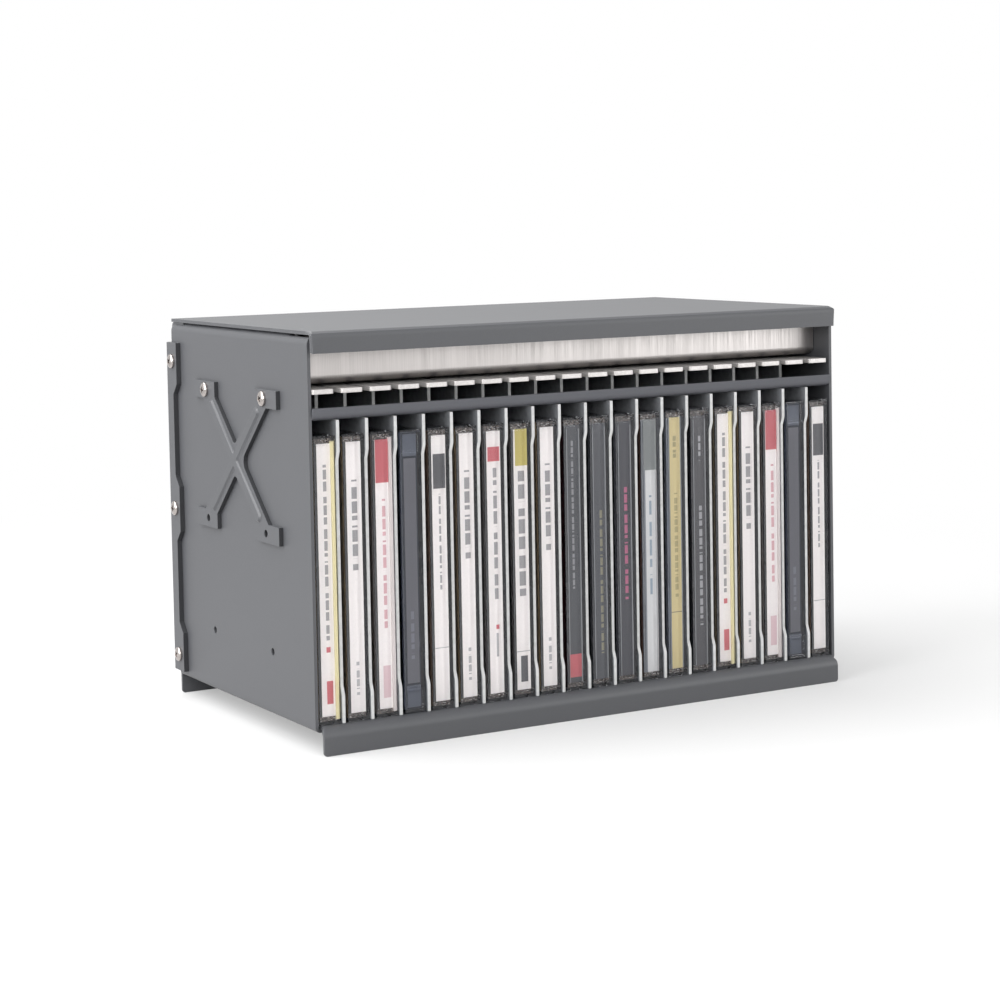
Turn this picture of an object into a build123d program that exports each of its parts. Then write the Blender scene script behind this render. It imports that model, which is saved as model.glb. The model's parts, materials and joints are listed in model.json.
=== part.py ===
from build123d import *
import math
import os

# CD storage case: a folded sheet-metal housing with twenty upright slots, one jewel case in each,
# and a rank of twenty rocking keys on one rod. Millimetres, +X to the right, +Y to the back, +Z up.
# The origin lies on the table, under the middle of the case; the keys are at the front, towards -Y.

# What the case holds
slot_count = 20
jewel_thickness = 10.4
jewel_height = 125.0
jewel_depth = 142.0
jewel_setback = 1.5

# The row of dividers
divider_sheet = 1.6
slot_slack = 1.9
row_shift = -1.3
divider_inset = 0.7
divider_upper_inset = 21.4
divider_top_drop = 0.2
recess_depth = 1.5
recess_slope = 4.0
recess_bottom_height = 12.2
recess_top_drop = 13.5
floor_tab_length = 14.0
floor_tab_front = 24.0

# Housing
sheet = 1.5
side_setback = 1.5
side_bottom = 9.5
fit_gap = 0.3
hole_sides = 8
screw_sides = 10
sheet_bend = 1.0
side_bend = 1.0
side_top_bend = 3.0
side_flange = 12.0
hood_lip_height = 9.5
hood_lip_proud = 2.0
hood_bend = 1.5
hood_end_inset = 0.3
hood_corner = 3.0
foot_end_inset = 1.7
foot_bend = 3.5
foot_corner = 3.5
back_sheet = 2.4
back_bend = 0.3
back_wing = 13.5
back_wing_narrow = 9.2
back_wing_top_drop = 11.2
back_wing_screw_drop = 8.9
back_wing_tab = 10.8
back_wing_slope = 5.0

# Keys and what carries them
rod_diameter = 5.0
running_gap = 0.05
key_sheet = 2.0
key_front_inset = 1.0
key_stroke = 5.75
key_bend = 3.0
key_corner = 0.8
key_eye_width = 6.0
key_eye_sides = 12
key_waist_height = 16.0
eye_slit = 0.5
eye_back_gap = 1.4
case_push_gap = 0.5
bar_sheet = 1.2
bar_inset = 1.3
bar_clearance = 6.5
bar_lip_rise = 5.3
bar_lip_lean = 1.3
bar_bend = 2.4
key_stop_gap = 0.35
rod_height = 20.8

# Return springs, wound round the rod beside each key
spring_wire = 0.7
spring_turns = 1
spring_facets = 6
spring_gap = 0.15
spring_leg = 5.5

# Case details
lid_thickness = 3.4
lid_seam = 0.4
lid_seam_depth = 0.3

# Cover over the key levers
cover_sheet = 1.0
cover_inset = 13.5
cover_key_gap = 1.4
cover_height = 22.2
cover_roll = 4.6
cover_roll_bend = 2.8
cover_corner = 2.5
cover_flange = 9.0
cover_side_gap = 0.3

# Link brackets that join two stacked cases
bracket_sheet = 2.0
bracket_front = 76.75
bracket_span_y = 65.0
bracket_span_z = 60.0
bracket_drop = 31.3
bracket_tab_height = 8.2
bracket_tab_inner = 10.6
bracket_tab_outer = 14.0
bracket_arm = 10.0
bracket_rib_width = 4.4
bracket_rib_height = 0.9
bracket_throat = 2.4
bracket_waist = 5.0

# Fasteners
link_hole = 3.4
screw_shank = 3.0
rod_screw_depth = 5.0
rod_bore_spare = 1.0
hood_screw_length = 5.0
screw_head = 6.8
screw_head_height = 1.8
hood_screw_head = 5.6
hood_screw_inset = 5.6
hood_screw_front = 22.0
hood_screw_span = 100.0

# Widths that follow from the ones above
key_width = jewel_thickness
slot_width = jewel_thickness + slot_slack
pitch = slot_width + divider_sheet
inner_width = slot_count * slot_width + (slot_count - 1) * divider_sheet
case_width = inner_width + 2 * sheet
half_width = case_width / 2
half_inner = inner_width / 2

# Depths that follow
eye_bore = rod_diameter / 2 + running_gap
eye_radius = eye_bore + key_sheet
side_depth = jewel_setback + jewel_depth + case_push_gap + 2 * eye_radius + eye_back_gap
foot_proud = hood_lip_proud + sheet
total_depth = foot_proud + side_depth + 2 * sheet
front = -total_depth / 2 + foot_proud
back = front + side_depth
jewel_front = front + jewel_setback
jewel_back = jewel_front + jewel_depth
key_strip_front = jewel_back + case_push_gap
key_strip_back = key_strip_front + key_sheet
rod_y = key_strip_front + eye_radius
floor_tab_y = front + floor_tab_front
bracket_y = front + bracket_front

# Heights that follow, from the floor up
floor_underside = side_bottom + sheet
floor_top = floor_underside + sheet
jewel_top = floor_top + jewel_height
rod_z = rod_height
bar_seat_height = jewel_top + bar_clearance
bar_lip_height = bar_seat_height + bar_lip_rise
key_underside = bar_lip_height + key_stop_gap + key_stroke
key_top_height = key_underside + key_sheet
divider_top = key_top_height - divider_top_drop
cover_bottom_height = key_top_height + cover_key_gap
hood_underside = cover_bottom_height + cover_height
case_height = hood_underside + sheet
bracket_top_z = case_height - bracket_drop
bracket_low_z = bracket_top_z - bracket_span_z
stack_step = case_height - side_bottom
link_low_z = bracket_top_z + bracket_span_z - stack_step

# Holes and travel that follow
screw_hole = screw_shank + 2 * running_gap
key_reach = rod_y - (front + key_front_inset)
key_swing = math.degrees(math.asin(key_stroke / key_reach))
push_arm = jewel_top - rod_z
jewel_travel = push_arm * math.radians(key_swing)


def divider_x(number):
    """Middle of divider number 1 to slot_count - 1, counted from the left."""
    return -half_inner + row_shift + number * pitch - divider_sheet / 2


def slot_x(number):
    """Middle of jewel case and key 1 to slot_count; each case leans towards the divider on its right."""
    return divider_x(number) - divider_sheet / 2 - fit_gap - jewel_thickness / 2


def bent_strip(points, radii, thickness, side):
    """Section of a bent sheet: one face of the sheet follows the points, the sheet lies to one side."""
    path = Wire(FilletPolyline(*points, radius=radii).edges())
    return make_face(offset(path, amount=thickness, side=side).edges())


def along_x(section, length):
    """Extrude a section drawn in (y, z) along X, half to each side."""
    return extrude(Plane.YZ * section, length / 2, both=True)


def along_y(section, start, end):
    """Extrude a section drawn in (x, z) along Y, from start to end."""
    return Pos(0, (start + end) / 2, 0) * extrude(Plane.XZ * section, (end - start) / 2, both=True)


def block(x0, x1, y0, y1, z0, z1):
    """Box between two corners."""
    middle = Pos((x0 + x1) / 2, (y0 + y1) / 2, (z0 + z1) / 2)
    return middle * Box(x1 - x0, y1 - y0, z1 - z0)


def drill_x(x, y, z, diameter, length):
    """Cylinder along X, centred on the point."""
    return Pos(x, y, z) * Rot(0, 90, 0) * Cylinder(diameter / 2, length)


def many_sided(radius, length, sides=hole_sides):
    """Bar along Z about the origin whose flats touch the radius, for small holes that repeat."""
    return extrude(RegularPolygon(radius, sides, major_radius=False), length / 2, both=True)


def plain_hole_x(x, y, z, diameter, length):
    """Many-sided bar along X that clears a shank of the given diameter, centred on the point."""
    return Pos(x, y, z) * Rot(0, 90, 0) * many_sided(diameter / 2, length)


def save(name, solids):
    """Write one node's solids to its STEP file."""
    shape = solids[0] if len(solids) == 1 else Compound(children=list(solids))
    export_step(shape, os.path.join("parts", name + ".step"))


def link_points():
    """Where the bracket's four holes lie on a side panel, upper pair first."""
    rows = (bracket_top_z, bracket_low_z)
    return [(bracket_y + s * bracket_span_y / 2, z) for z in rows for s in (-1, 1)]


def low_link_points():
    """The two threaded holes that take the bracket of the case below."""
    return [(bracket_y + s * bracket_span_y / 2, link_low_z) for s in (-1, 1)]


def wing_screw_points():
    """The three screws of a back-panel wing; the lowest one screws into the rod's end."""
    top = case_height - back_wing_top_drop - back_wing_screw_drop
    return [(rod_y, rod_z), (rod_y, (rod_z + top) / 2), (rod_y, top)]


def hood_screw_points():
    """The four countersunk screws of the top panel."""
    rows = (front + hood_screw_front, front + hood_screw_front + hood_screw_span)
    return [(s * (half_width - hood_screw_inset), y) for s in (-1, 1) for y in rows]


def side_panel(s):
    """Flat side with its top and bottom edges turned in; s is -1 on the left and 1 on the right."""
    outer = s * half_width
    turn = s * (half_width - side_flange)
    section = bent_strip(
        [(turn, side_bottom), (outer, side_bottom), (outer, hood_underside), (turn, hood_underside)],
        [sheet + side_bend, sheet + side_top_bend],
        sheet,
        Side.LEFT if s > 0 else Side.RIGHT,
    )
    panel = along_y(section, front + side_setback, back - back_bend)
    clear_x0, clear_x1 = sorted((turn - s, s * half_inner))
    flange_start = front + cover_inset + cover_flange + fit_gap
    flange_low = hood_underside - sheet - side_top_bend
    panel -= block(clear_x0, clear_x1, front - 1, flange_start, flange_low, case_height)
    panel -= block(clear_x0, clear_x1, back - side_flange - fit_gap, back + 1, flange_low, case_height)
    foot_clear = front + foot_bend + sheet - foot_proud + fit_gap
    panel -= block(clear_x0, clear_x1, front - 1, foot_clear, 0, floor_top)
    for y, z in low_link_points():
        panel -= drill_x(outer, y, z, link_hole, 4 * sheet)
    for y, z in link_points():
        panel -= plain_hole_x(outer, y, z, link_hole, 4 * sheet)
    for y, z in wing_screw_points():
        panel -= plain_hole_x(outer, y, z, screw_hole, 4 * sheet)
    for x, y in hood_screw_points():
        panel -= Pos(x, y, hood_underside) * many_sided(screw_hole / 2, 4 * sheet)
    return panel


def round_lip_ends(panel, half, y0, y1, z0, z1, corner, up):
    """Round the two end corners of a turned-down lip, seen from the front."""
    for s in (-1, 1):
        x0, x1 = sorted((s * (half - corner), s * (half + 1)))
        z_centre = z1 - corner if up else z0 + corner
        centre = Pos(s * (half - corner), (y0 + y1) / 2, z_centre)
        pillar = centre * Rot(90, 0, 0) * Cylinder(corner, y1 - y0)
        if up:
            panel -= block(x0, x1, y0, y1, z1 - corner, z1 + 1) - pillar
        else:
            panel -= block(x0, x1, y0, y1, z0 - 1, z0 + corner) - pillar
    return panel


def top_panel():
    """Lid sheet with a lip turned down at the front, over the front edges of the sides."""
    lip_y = front - hood_lip_proud
    section = bent_strip(
        [(back, case_height), (lip_y, case_height), (lip_y, case_height - hood_lip_height)],
        [hood_bend + sheet],
        sheet,
        Side.LEFT,
    )
    width = case_width - 2 * hood_end_inset
    panel = along_x(section, width)
    half = width / 2
    base = case_height - hood_lip_height
    lip_end = lip_y + sheet + fit_gap
    panel = round_lip_ends(panel, half, lip_y - 1, lip_end, base, case_height, hood_corner, True)
    panel = round_lip_ends(panel, half, lip_y - 1, lip_end, base, case_height, sheet, False)
    for s in (-1, 1):
        corner_x = s * (half - hood_corner)
        x0, x1 = sorted((corner_x, s * (half + 1)))
        pillar = Pos(corner_x, lip_y + hood_corner, base) * Cylinder(hood_corner, 3 * case_height)
        panel -= block(x0, x1, lip_y - 1, lip_y + hood_corner, base - 1, case_height + 1) - pillar
    for x, y in hood_screw_points():
        panel -= Pos(x, y, case_height) * hood_screw(running_gap)
    return panel


def hood_screw(gap=0.0):
    """Countersunk screw, its top face at the origin; with a gap it is the hole for one."""
    head = hood_screw_head / 2 + gap
    shank = screw_shank / 2 + gap
    cone = extrude(RegularPolygon(head, screw_sides), head - shank, taper=45)
    stem = extrude(RegularPolygon(shank, screw_sides), hood_screw_length)
    return Rot(180, 0, 0) * (cone + stem)


def bottom_panel():
    """Floor between the sides; both ends turn down to the table and are wide enough to show outside."""
    lip_y = front - foot_proud
    foot_y = back + 2 * sheet
    section = bent_strip(
        [(lip_y, 0), (lip_y, floor_top), (foot_y, floor_top), (foot_y, 0)],
        [foot_bend + sheet, sheet_bend + sheet],
        sheet,
        Side.RIGHT,
    )
    width = case_width - 2 * foot_end_inset
    panel = along_x(section, width)
    half = width / 2
    panel = round_lip_ends(panel, half, lip_y - 1, front - fit_gap, 0, floor_top, foot_corner, True)
    panel = round_lip_ends(panel, half, lip_y - 1, front - fit_gap, 0, floor_top, sheet, False)
    panel = round_lip_ends(panel, half, back + fit_gap, foot_y + 1, 0, floor_top, sheet, False)
    for s in (-1, 1):
        x0, x1 = sorted((s * (half_inner - side_bend), s * (half + 1)))
        panel -= block(x0, x1, front - fit_gap, back + fit_gap, 0, case_height)
    for number in range(1, slot_count):
        reach = floor_tab_length / 2 + running_gap
        thick = divider_sheet / 2 + running_gap
        x = divider_x(number)
        y0, y1 = floor_tab_y - reach, floor_tab_y + reach
        panel -= block(x - thick, x + thick, y0, y1, side_bottom, floor_top + 1)
    return panel


def back_panel():
    """Back sheet with a flange under the top panel and two scalloped wings over the sides."""
    outer_x = half_width + back_sheet
    back_y = back + back_sheet
    wing_y = back_y - back_wing
    wing_top = case_height - back_wing_top_drop
    section = bent_strip(
        [(-outer_x, wing_y), (-outer_x, back_y), (outer_x, back_y), (outer_x, wing_y)],
        back_sheet + back_bend,
        back_sheet,
        Side.RIGHT,
    )
    channel = Pos(0, 0, floor_top) * extrude(section, wing_top - floor_top)
    flange = bent_strip(
        [(back_y, wing_top), (back_y, hood_underside), (back - side_flange, hood_underside)],
        back_sheet + back_bend,
        back_sheet,
        Side.LEFT,
    )
    panel = channel + along_x(flange, inner_width) - scallops(wing_y)
    for s in (-1, 1):
        x0, x1 = sorted((s * (half_width - sheet), s * (outer_x + 1)))
        panel -= block(x0, x1, wing_y - 1, back_y + 1, floor_top - 1, floor_top + fit_gap)
        for y, z in wing_screw_points():
            panel -= plain_hole_x(s * half_width, y, z, screw_hole, 4 * back_sheet)
    return panel


def scallops(wing_y):
    """What is cut from both wings between their three screw tabs, with sloped ends."""
    neck_y = back + back_sheet - back_wing_narrow
    heights = [z for _, z in wing_screw_points()]
    cut = None
    for low, high in zip(heights, heights[1:]):
        z0 = low + back_wing_tab
        z1 = high - back_wing_tab
        outline = Polyline(
            (wing_y - 1, z0),
            (wing_y, z0),
            (neck_y, z0 + back_wing_slope),
            (neck_y, z1 - back_wing_slope),
            (wing_y, z1),
            (wing_y - 1, z1),
            close=True,
        )
        piece = along_x(make_face(outline), 3 * case_width)
        cut = piece if cut is None else cut + piece
    return cut


def divider():
    """One plate, drawn at x = 0: finger recess and set-back top in front, a tab through the floor."""
    low_y = front + divider_inset
    deep_y = low_y + recess_depth
    step_y = front + divider_upper_inset
    low_z = floor_top + recess_bottom_height
    high_z = bar_seat_height - recess_top_drop
    reach = floor_tab_length / 2
    outline = Polyline(
        (low_y, floor_top),
        (low_y, low_z),
        (deep_y, low_z + recess_slope),
        (deep_y, high_z - recess_slope),
        (low_y, high_z),
        (low_y, bar_seat_height),
        (step_y, bar_seat_height),
        (step_y, divider_top),
        (back, divider_top),
        (back, floor_top),
        (floor_tab_y + reach, floor_top),
        (floor_tab_y + reach, floor_underside),
        (floor_tab_y - reach, floor_underside),
        (floor_tab_y - reach, floor_top),
        close=True,
    )
    plate = along_x(make_face(outline), divider_sheet)
    return plate - plain_hole_x(0, rod_y, rod_z, 2 * eye_bore, 2 * divider_sheet)


def key_stop_bar():
    """Bar under the key tabs: it sits on the dividers' steps and its rolled lip stops the keys."""
    seat_back = front + divider_upper_inset - fit_gap
    lip_foot = front + bar_inset
    section = bent_strip(
        [
            (seat_back, bar_seat_height),
            (lip_foot, bar_seat_height),
            (lip_foot - bar_lip_lean, bar_lip_height),
        ],
        bar_bend + bar_sheet,
        bar_sheet,
        Side.RIGHT,
    )
    return along_x(section, inner_width)


def mechanism_cover():
    """Fascia above the keys: its lower edge rolls back, its top flange hangs under the top panel."""
    face_y = front + cover_inset
    top = hood_underside
    section = bent_strip(
        [
            (face_y + cover_roll, cover_bottom_height),
            (face_y, cover_bottom_height),
            (face_y, top),
            (face_y + cover_flange, top),
        ],
        cover_sheet + cover_roll_bend,
        cover_sheet,
        Side.RIGHT,
    )
    width = inner_width - 2 * cover_side_gap
    cover = along_x(section, width)
    low, rim_back = cover_bottom_height, face_y + cover_roll + 1
    cover = round_lip_ends(cover, width / 2, face_y - 1, rim_back, low, hood_underside, cover_corner, False)
    for s in (-1, 1):
        x0, x1 = sorted((s * (half_width - side_flange - fit_gap), s * half_width))
        cover -= block(x0, x1, face_y + cover_sheet, back, top - cover_flange, case_height)
    return cover


def pivot_rod():
    """Rod that carries every key, tapped at both ends for a wing's lowest screw."""
    rod = drill_x(0, rod_y, rod_z, rod_diameter, inner_width)
    for s in (-1, 1):
        rod -= plain_hole_x(s * half_inner, rod_y, rod_z, screw_shank, 2 * (rod_screw_depth + rod_bore_spare))
    return rod


def key():
    """One key, drawn at x = 0: tab and lever, bent down behind its case and rolled round the rod."""
    nose_y = front + key_front_inset
    inner_bend = key_bend - key_sheet * (1 - math.tan(math.pi / 8))
    outline = Polyline(
        (nose_y, key_top_height),
        (key_strip_back - key_bend, key_top_height),
        (key_strip_back, key_top_height - key_bend),
        (key_strip_back, rod_z),
        (key_strip_front, rod_z),
        (key_strip_front, key_underside - inner_bend),
        (key_strip_front - inner_bend, key_underside),
        (nose_y, key_underside),
        close=True,
    )
    lever = along_x(make_face(outline), key_width)
    eye = Pos(0, rod_y, rod_z) * Rot(0, 90, 0)
    lever += eye * many_sided(eye_radius, key_width, key_eye_sides)
    lever -= eye * many_sided(eye_bore, 2 * key_width, key_eye_sides)
    slit_y = rod_y + eye_slit
    lever -= block(-key_width, key_width, rod_y, slit_y, rod_z + eye_bore / 2, rod_z + 2 * eye_radius)
    waist_x = -key_width / 2 + key_eye_width
    low_z = rod_z - 2 * eye_radius
    lever -= block(waist_x, key_width, key_strip_front - 1, back, low_z, rod_z + key_waist_height)
    for s in (-1, 1):
        corner = Pos(s * key_width / 2, nose_y, key_top_height) * Rot(0, 0, 45)
        lever -= corner * Box(key_corner * math.sqrt(2), key_corner * math.sqrt(2), 3 * key_sheet)
    return lever


def return_spring():
    """Torsion spring on the rod, drawn at x = 0: one leg bears on the back, the other on the key's strip."""
    half_wire = spring_wire / 2
    radius = (rod_diameter / 2 + half_wire + spring_gap) / math.cos(math.pi / spring_facets)
    lead = spring_wire + spring_gap
    steps = round((spring_turns + 0.5) * spring_facets)
    coil = []
    for step in range(steps + 1):
        angle = 2 * math.pi * step / spring_facets
        coil.append((lead * step / spring_facets, -radius * math.cos(angle), -radius * math.sin(angle)))
    strip_y = key_strip_back - rod_y + half_wire + fit_gap
    wall_y = back - rod_y - half_wire - spring_gap
    strip_leg = (0, strip_y, key_waist_height + spring_wire)
    wall_leg = (coil[-1][0], wall_y, -spring_leg)
    route = Polyline(strip_leg, *coil, wall_leg)
    start = Plane(origin=route @ 0, z_dir=route % 0)
    wire = sweep(start * Rectangle(spring_wire, spring_wire), path=route, transition=Transition.RIGHT)
    spring_x = -key_width / 2 + key_eye_width + fit_gap + half_wire
    return Pos(spring_x, rod_y, rod_z) * wire


def link_bracket(s):
    """Stamped X with four tabs, flat on a side panel, with a raised rib along its arms."""
    half_y = bracket_span_y / 2
    half_z = bracket_span_z / 2
    length = 2 * math.hypot(half_y, half_z)
    slope = math.degrees(math.atan2(half_z, half_y))
    arms = [Rot(0, 0, turn) * Rectangle(2 * length, bracket_arm) for turn in (slope, -slope)]
    cross = (arms[0] + arms[1]) & Rectangle(4 * half_y, 2 * half_z)
    hub = cross.vertices().filter_by(lambda v: max(abs(v.X), abs(v.Y)) < bracket_arm)
    cross = fillet(hub.filter_by(lambda v: abs(v.X) < abs(v.Y)), bracket_throat)
    hub = cross.vertices().filter_by(lambda v: abs(v.X) < bracket_arm and abs(v.Y) < fit_gap)
    cross = fillet(hub, bracket_waist)
    tab = (bracket_tab_inner + bracket_tab_outer, bracket_tab_height)
    tab_y = (bracket_tab_outer - bracket_tab_inner) / 2
    corners = [(sy, sz) for sy in (-1, 1) for sz in (-1, 1)]
    for sy, sz in corners:
        cross += Pos(sy * (half_y + tab_y), sz * half_z) * Rectangle(*tab)
    plate = extrude(cross, bracket_sheet) + bracket_rib(length, slope)
    for sy, sz in corners:
        round_hole = Cylinder(link_hole / 2, 4 * bracket_sheet)
        plain_hole = many_sided(link_hole / 2, 4 * bracket_sheet)
        plate -= Pos(sy * half_y, sz * half_z, 0) * (plain_hole if sz > 0 else round_hole)
    middle = (s * half_width, bracket_y, bracket_top_z - half_z)
    facing = Plane(origin=middle, x_dir=(0, s, 0), z_dir=(s, 0, 0))
    return facing.location * plate


def bracket_rib(length, slope):
    """Raised cross that stiffens the bracket's arms, with drafted sides."""
    reach = length - 2 * bracket_tab_outer
    rib = None
    for turn in (slope, -slope):
        foot = Rectangle(reach, bracket_rib_width)
        foot = Rot(0, 0, turn) * chamfer(foot.vertices(), bracket_rib_width / 3)
        rib = foot if rib is None else rib + foot
    return Pos(0, 0, bracket_sheet) * extrude(rib, bracket_rib_height, taper=40)


def pan_screw(s, x, y, z, shank_length):
    """Pan-head screw, its seat at the point and its head turned outwards."""
    shoulder = screw_head_height / 2
    rim = RegularPolygon(screw_head / 2, screw_sides)
    shank = extrude(RegularPolygon(screw_shank / 2, screw_sides), -shank_length)
    crown = Pos(0, 0, shoulder) * extrude(rim, shoulder, taper=45)
    return Pos(x, y, z) * Rot(0, s * 90, 0) * (shank + extrude(rim, shoulder) + crown)


def jewel_case(number):
    """Closed case standing in its slot, with the lid's parting line."""
    x = slot_x(number)
    half = jewel_thickness / 2
    body = block(x - half, x + half, jewel_front, jewel_back, floor_top, jewel_top)
    lid_x = x + half - lid_thickness
    seam = lid_seam / 2
    rim = block(lid_x - seam, lid_x + seam, jewel_front - 1, jewel_back + 1, floor_top - 1, jewel_top + 1)
    core = block(
        x - half, x + half,
        jewel_front + lid_seam_depth, jewel_back - lid_seam_depth,
        floor_top + lid_seam_depth, jewel_top - lid_seam_depth,
    )
    return body - (rim - core)


def main():
    os.makedirs("parts", exist_ok=True)
    save("left_side_panel", [side_panel(-1)])
    save("right_side_panel", [side_panel(1)])
    save("top_panel", [top_panel()])
    save("bottom_panel", [bottom_panel()])
    save("back_panel", [back_panel()])
    plate = divider()
    save("dividers", [Pos(divider_x(n), 0, 0) * plate for n in range(1, slot_count)])
    save("key_stop_bar", [key_stop_bar()])
    save("mechanism_cover", [mechanism_cover()])
    save("pivot_rod", [pivot_rod()])
    spring = return_spring()
    save("return_springs", [Pos(slot_x(n), 0, 0) * spring for n in range(1, slot_count + 1)])
    save("left_link_bracket", [link_bracket(-1)])
    save("right_link_bracket", [link_bracket(1)])
    seat_x = half_width + bracket_sheet
    shank = bracket_sheet + sheet
    screws = [pan_screw(s, s * seat_x, y, z, shank) for s in (-1, 1) for y, z in link_points()[:2]]
    save("bracket_screws", screws)
    seat_x = half_width + back_sheet
    screws = []
    for s in (-1, 1):
        for number, (y, z) in enumerate(wing_screw_points()):
            shank = back_sheet + sheet + (rod_screw_depth if number == 0 else 0)
            screws.append(pan_screw(s, s * seat_x, y, z, shank))
    save("back_panel_screws", screws)
    save("top_panel_screws", [Pos(x, y, case_height) * hood_screw() for x, y in hood_screw_points()])
    print(f"key swing {key_swing:.3f} degrees, case travel {jewel_travel:.3f} mm, push arm {push_arm:.2f} mm")
    lever = key()
    for number in range(1, slot_count + 1):
        save(f"key_{number:02d}", [Pos(slot_x(number), 0, 0) * lever])
        save(f"jewel_case_{number:02d}", [jewel_case(number)])


main()
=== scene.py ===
"""Looks of a tabletop case for compact discs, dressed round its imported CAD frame.

The housing is powder-coated folded sheet. Twenty jewel cases stand between divider plates, and a bank
of brushed keys above them rocks on one rod. Every piece is in metres, in the CAD's own frame: +X to
the right seen from the front, +Y to the back, +Z up, with the table at zero.
"""

import json
import logging
import math
from contextlib import contextmanager
from dataclasses import dataclass, field
from enum import Enum
from typing import Any, Callable, Iterable, Iterator, Mapping, Optional, Protocol, Sequence, Union

import bmesh
import bpy
from mathutils import Matrix, Vector

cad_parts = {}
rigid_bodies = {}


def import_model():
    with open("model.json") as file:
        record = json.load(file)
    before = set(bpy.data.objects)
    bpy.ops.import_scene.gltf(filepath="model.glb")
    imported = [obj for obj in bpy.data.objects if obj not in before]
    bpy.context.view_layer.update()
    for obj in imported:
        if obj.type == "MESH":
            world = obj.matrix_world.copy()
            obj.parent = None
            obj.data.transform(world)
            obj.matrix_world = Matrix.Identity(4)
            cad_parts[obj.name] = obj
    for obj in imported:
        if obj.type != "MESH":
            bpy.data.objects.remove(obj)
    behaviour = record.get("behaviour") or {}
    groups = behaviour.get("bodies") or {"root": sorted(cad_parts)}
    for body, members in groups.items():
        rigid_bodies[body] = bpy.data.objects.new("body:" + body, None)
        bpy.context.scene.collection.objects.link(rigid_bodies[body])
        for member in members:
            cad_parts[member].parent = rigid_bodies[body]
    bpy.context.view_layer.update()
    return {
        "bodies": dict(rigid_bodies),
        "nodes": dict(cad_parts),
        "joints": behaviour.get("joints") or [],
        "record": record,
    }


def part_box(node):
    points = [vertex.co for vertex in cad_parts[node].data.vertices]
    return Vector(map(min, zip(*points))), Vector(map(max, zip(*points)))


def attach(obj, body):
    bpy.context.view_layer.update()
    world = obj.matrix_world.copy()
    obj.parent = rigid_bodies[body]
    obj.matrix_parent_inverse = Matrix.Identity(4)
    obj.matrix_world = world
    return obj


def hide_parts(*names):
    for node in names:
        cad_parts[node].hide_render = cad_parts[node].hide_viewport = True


Colour = tuple[float, float, float]
Point = tuple[float, float, float]
Number = Union[int, float]
FaceTest = Callable[[Vector, Vector], bool]

MM = 0.001
SLACK = 0.05 * MM
FACING = 0.9
PURE_WHITE = (1.0, 1.0, 1.0)
CASE_BODY = "case"

log = logging.getLogger("disc_case")


def srgb(red: int, green: int, blue: int) -> Colour:
    """Turn a colour of a paint card into the linear values that shaders use.

    Args:
        red: its red, 0 to 255.
        green: its green, 0 to 255.
        blue: its blue, 0 to 255.

    Returns:
        The colour, with channels from 0 to 1.
    """
    def linear(value: int) -> float:
        """Undo the screen's curve for one channel."""
        share = value / 255
        return share / 12.92 if share <= 0.04045 else ((share + 0.055) / 1.055) ** 2.4

    return linear(red), linear(green), linear(blue)


def shaded(colour: Colour, factor: float) -> Colour:
    """Make a colour darker or lighter by a factor, up to white."""
    red, green, blue = (min(1.0, channel * factor) for channel in colour)
    return red, green, blue


class Signal:
    """A shader socket that can be used in Python's arithmetic. Each operation adds one Math node."""

    def __init__(self, graph: "Graph", socket: bpy.types.NodeSocket) -> None:
        """Keep the socket and the graph that it belongs to."""
        self.graph = graph
        self.socket = socket

    def _math(self, operation: str, first: "Term", second: "Term" = 0.0, clamp: bool = False) -> "Signal":
        """Add a Math node.

        Args:
            operation: the Math node's operation.
            first: its first value.
            second: its second value.
            clamp: whether the result stays between 0 and 1.

        Returns:
            The node's result.
        """
        settings = {"operation": operation, "use_clamp": clamp}
        return self.graph.node("ShaderNodeMath", settings, {0: first, 1: second})

    def __add__(self, other: "Term") -> "Signal":
        """Add."""
        return self._math("ADD", self, other)

    def __radd__(self, other: "Term") -> "Signal":
        """Add to a plain number."""
        return self._math("ADD", other, self)

    def __mul__(self, other: "Term") -> "Signal":
        """Multiply."""
        return self._math("MULTIPLY", self, other)

    def __rmul__(self, other: "Term") -> "Signal":
        """Multiply a plain number."""
        return self._math("MULTIPLY", other, self)

    def __gt__(self, other: "Term") -> "Signal":
        """1 where this is greater."""
        return self._math("GREATER_THAN", self, other)

    def __lt__(self, other: "Term") -> "Signal":
        """1 where this is less."""
        return self._math("LESS_THAN", self, other)

    def fraction(self) -> "Signal":
        """The part after the decimal point."""
        return self._math("FRACT", self)

    def clamped(self) -> "Signal":
        """Keep between 0 and 1."""
        return self._math("ADD", self, 0.0, clamp=True)

    def between(self, low: float, high: float) -> "Signal":
        """1 where this lies between two numbers, and 0 elsewhere."""
        return (self > low) * (self < high)

    def ramp(self, low: float, high: float, start: float = 0.0, end: float = 1.0) -> "Signal":
        """Map a range smoothly onto another one.

        Args:
            low: the value that becomes start.
            high: the value that becomes end.
            start: the result at low and below.
            end: the result at high and above.

        Returns:
            The mapped number.
        """
        settings = {"interpolation_type": "SMOOTHSTEP", "clamp": True}
        return self.graph.node("ShaderNodeMapRange", settings, {0: self, 1: low, 2: high, 3: start, 4: end})

    def spread(self, start: float = 0.0, end: float = 1.0) -> "Signal":
        """Map noise, nearly all of which lies between 0.3 and 0.7, onto a range."""
        return self.ramp(0.3, 0.7, start, end)


Term = Union[Signal, Number]
Value = Union[Signal, Number, Sequence[float]]


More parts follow.
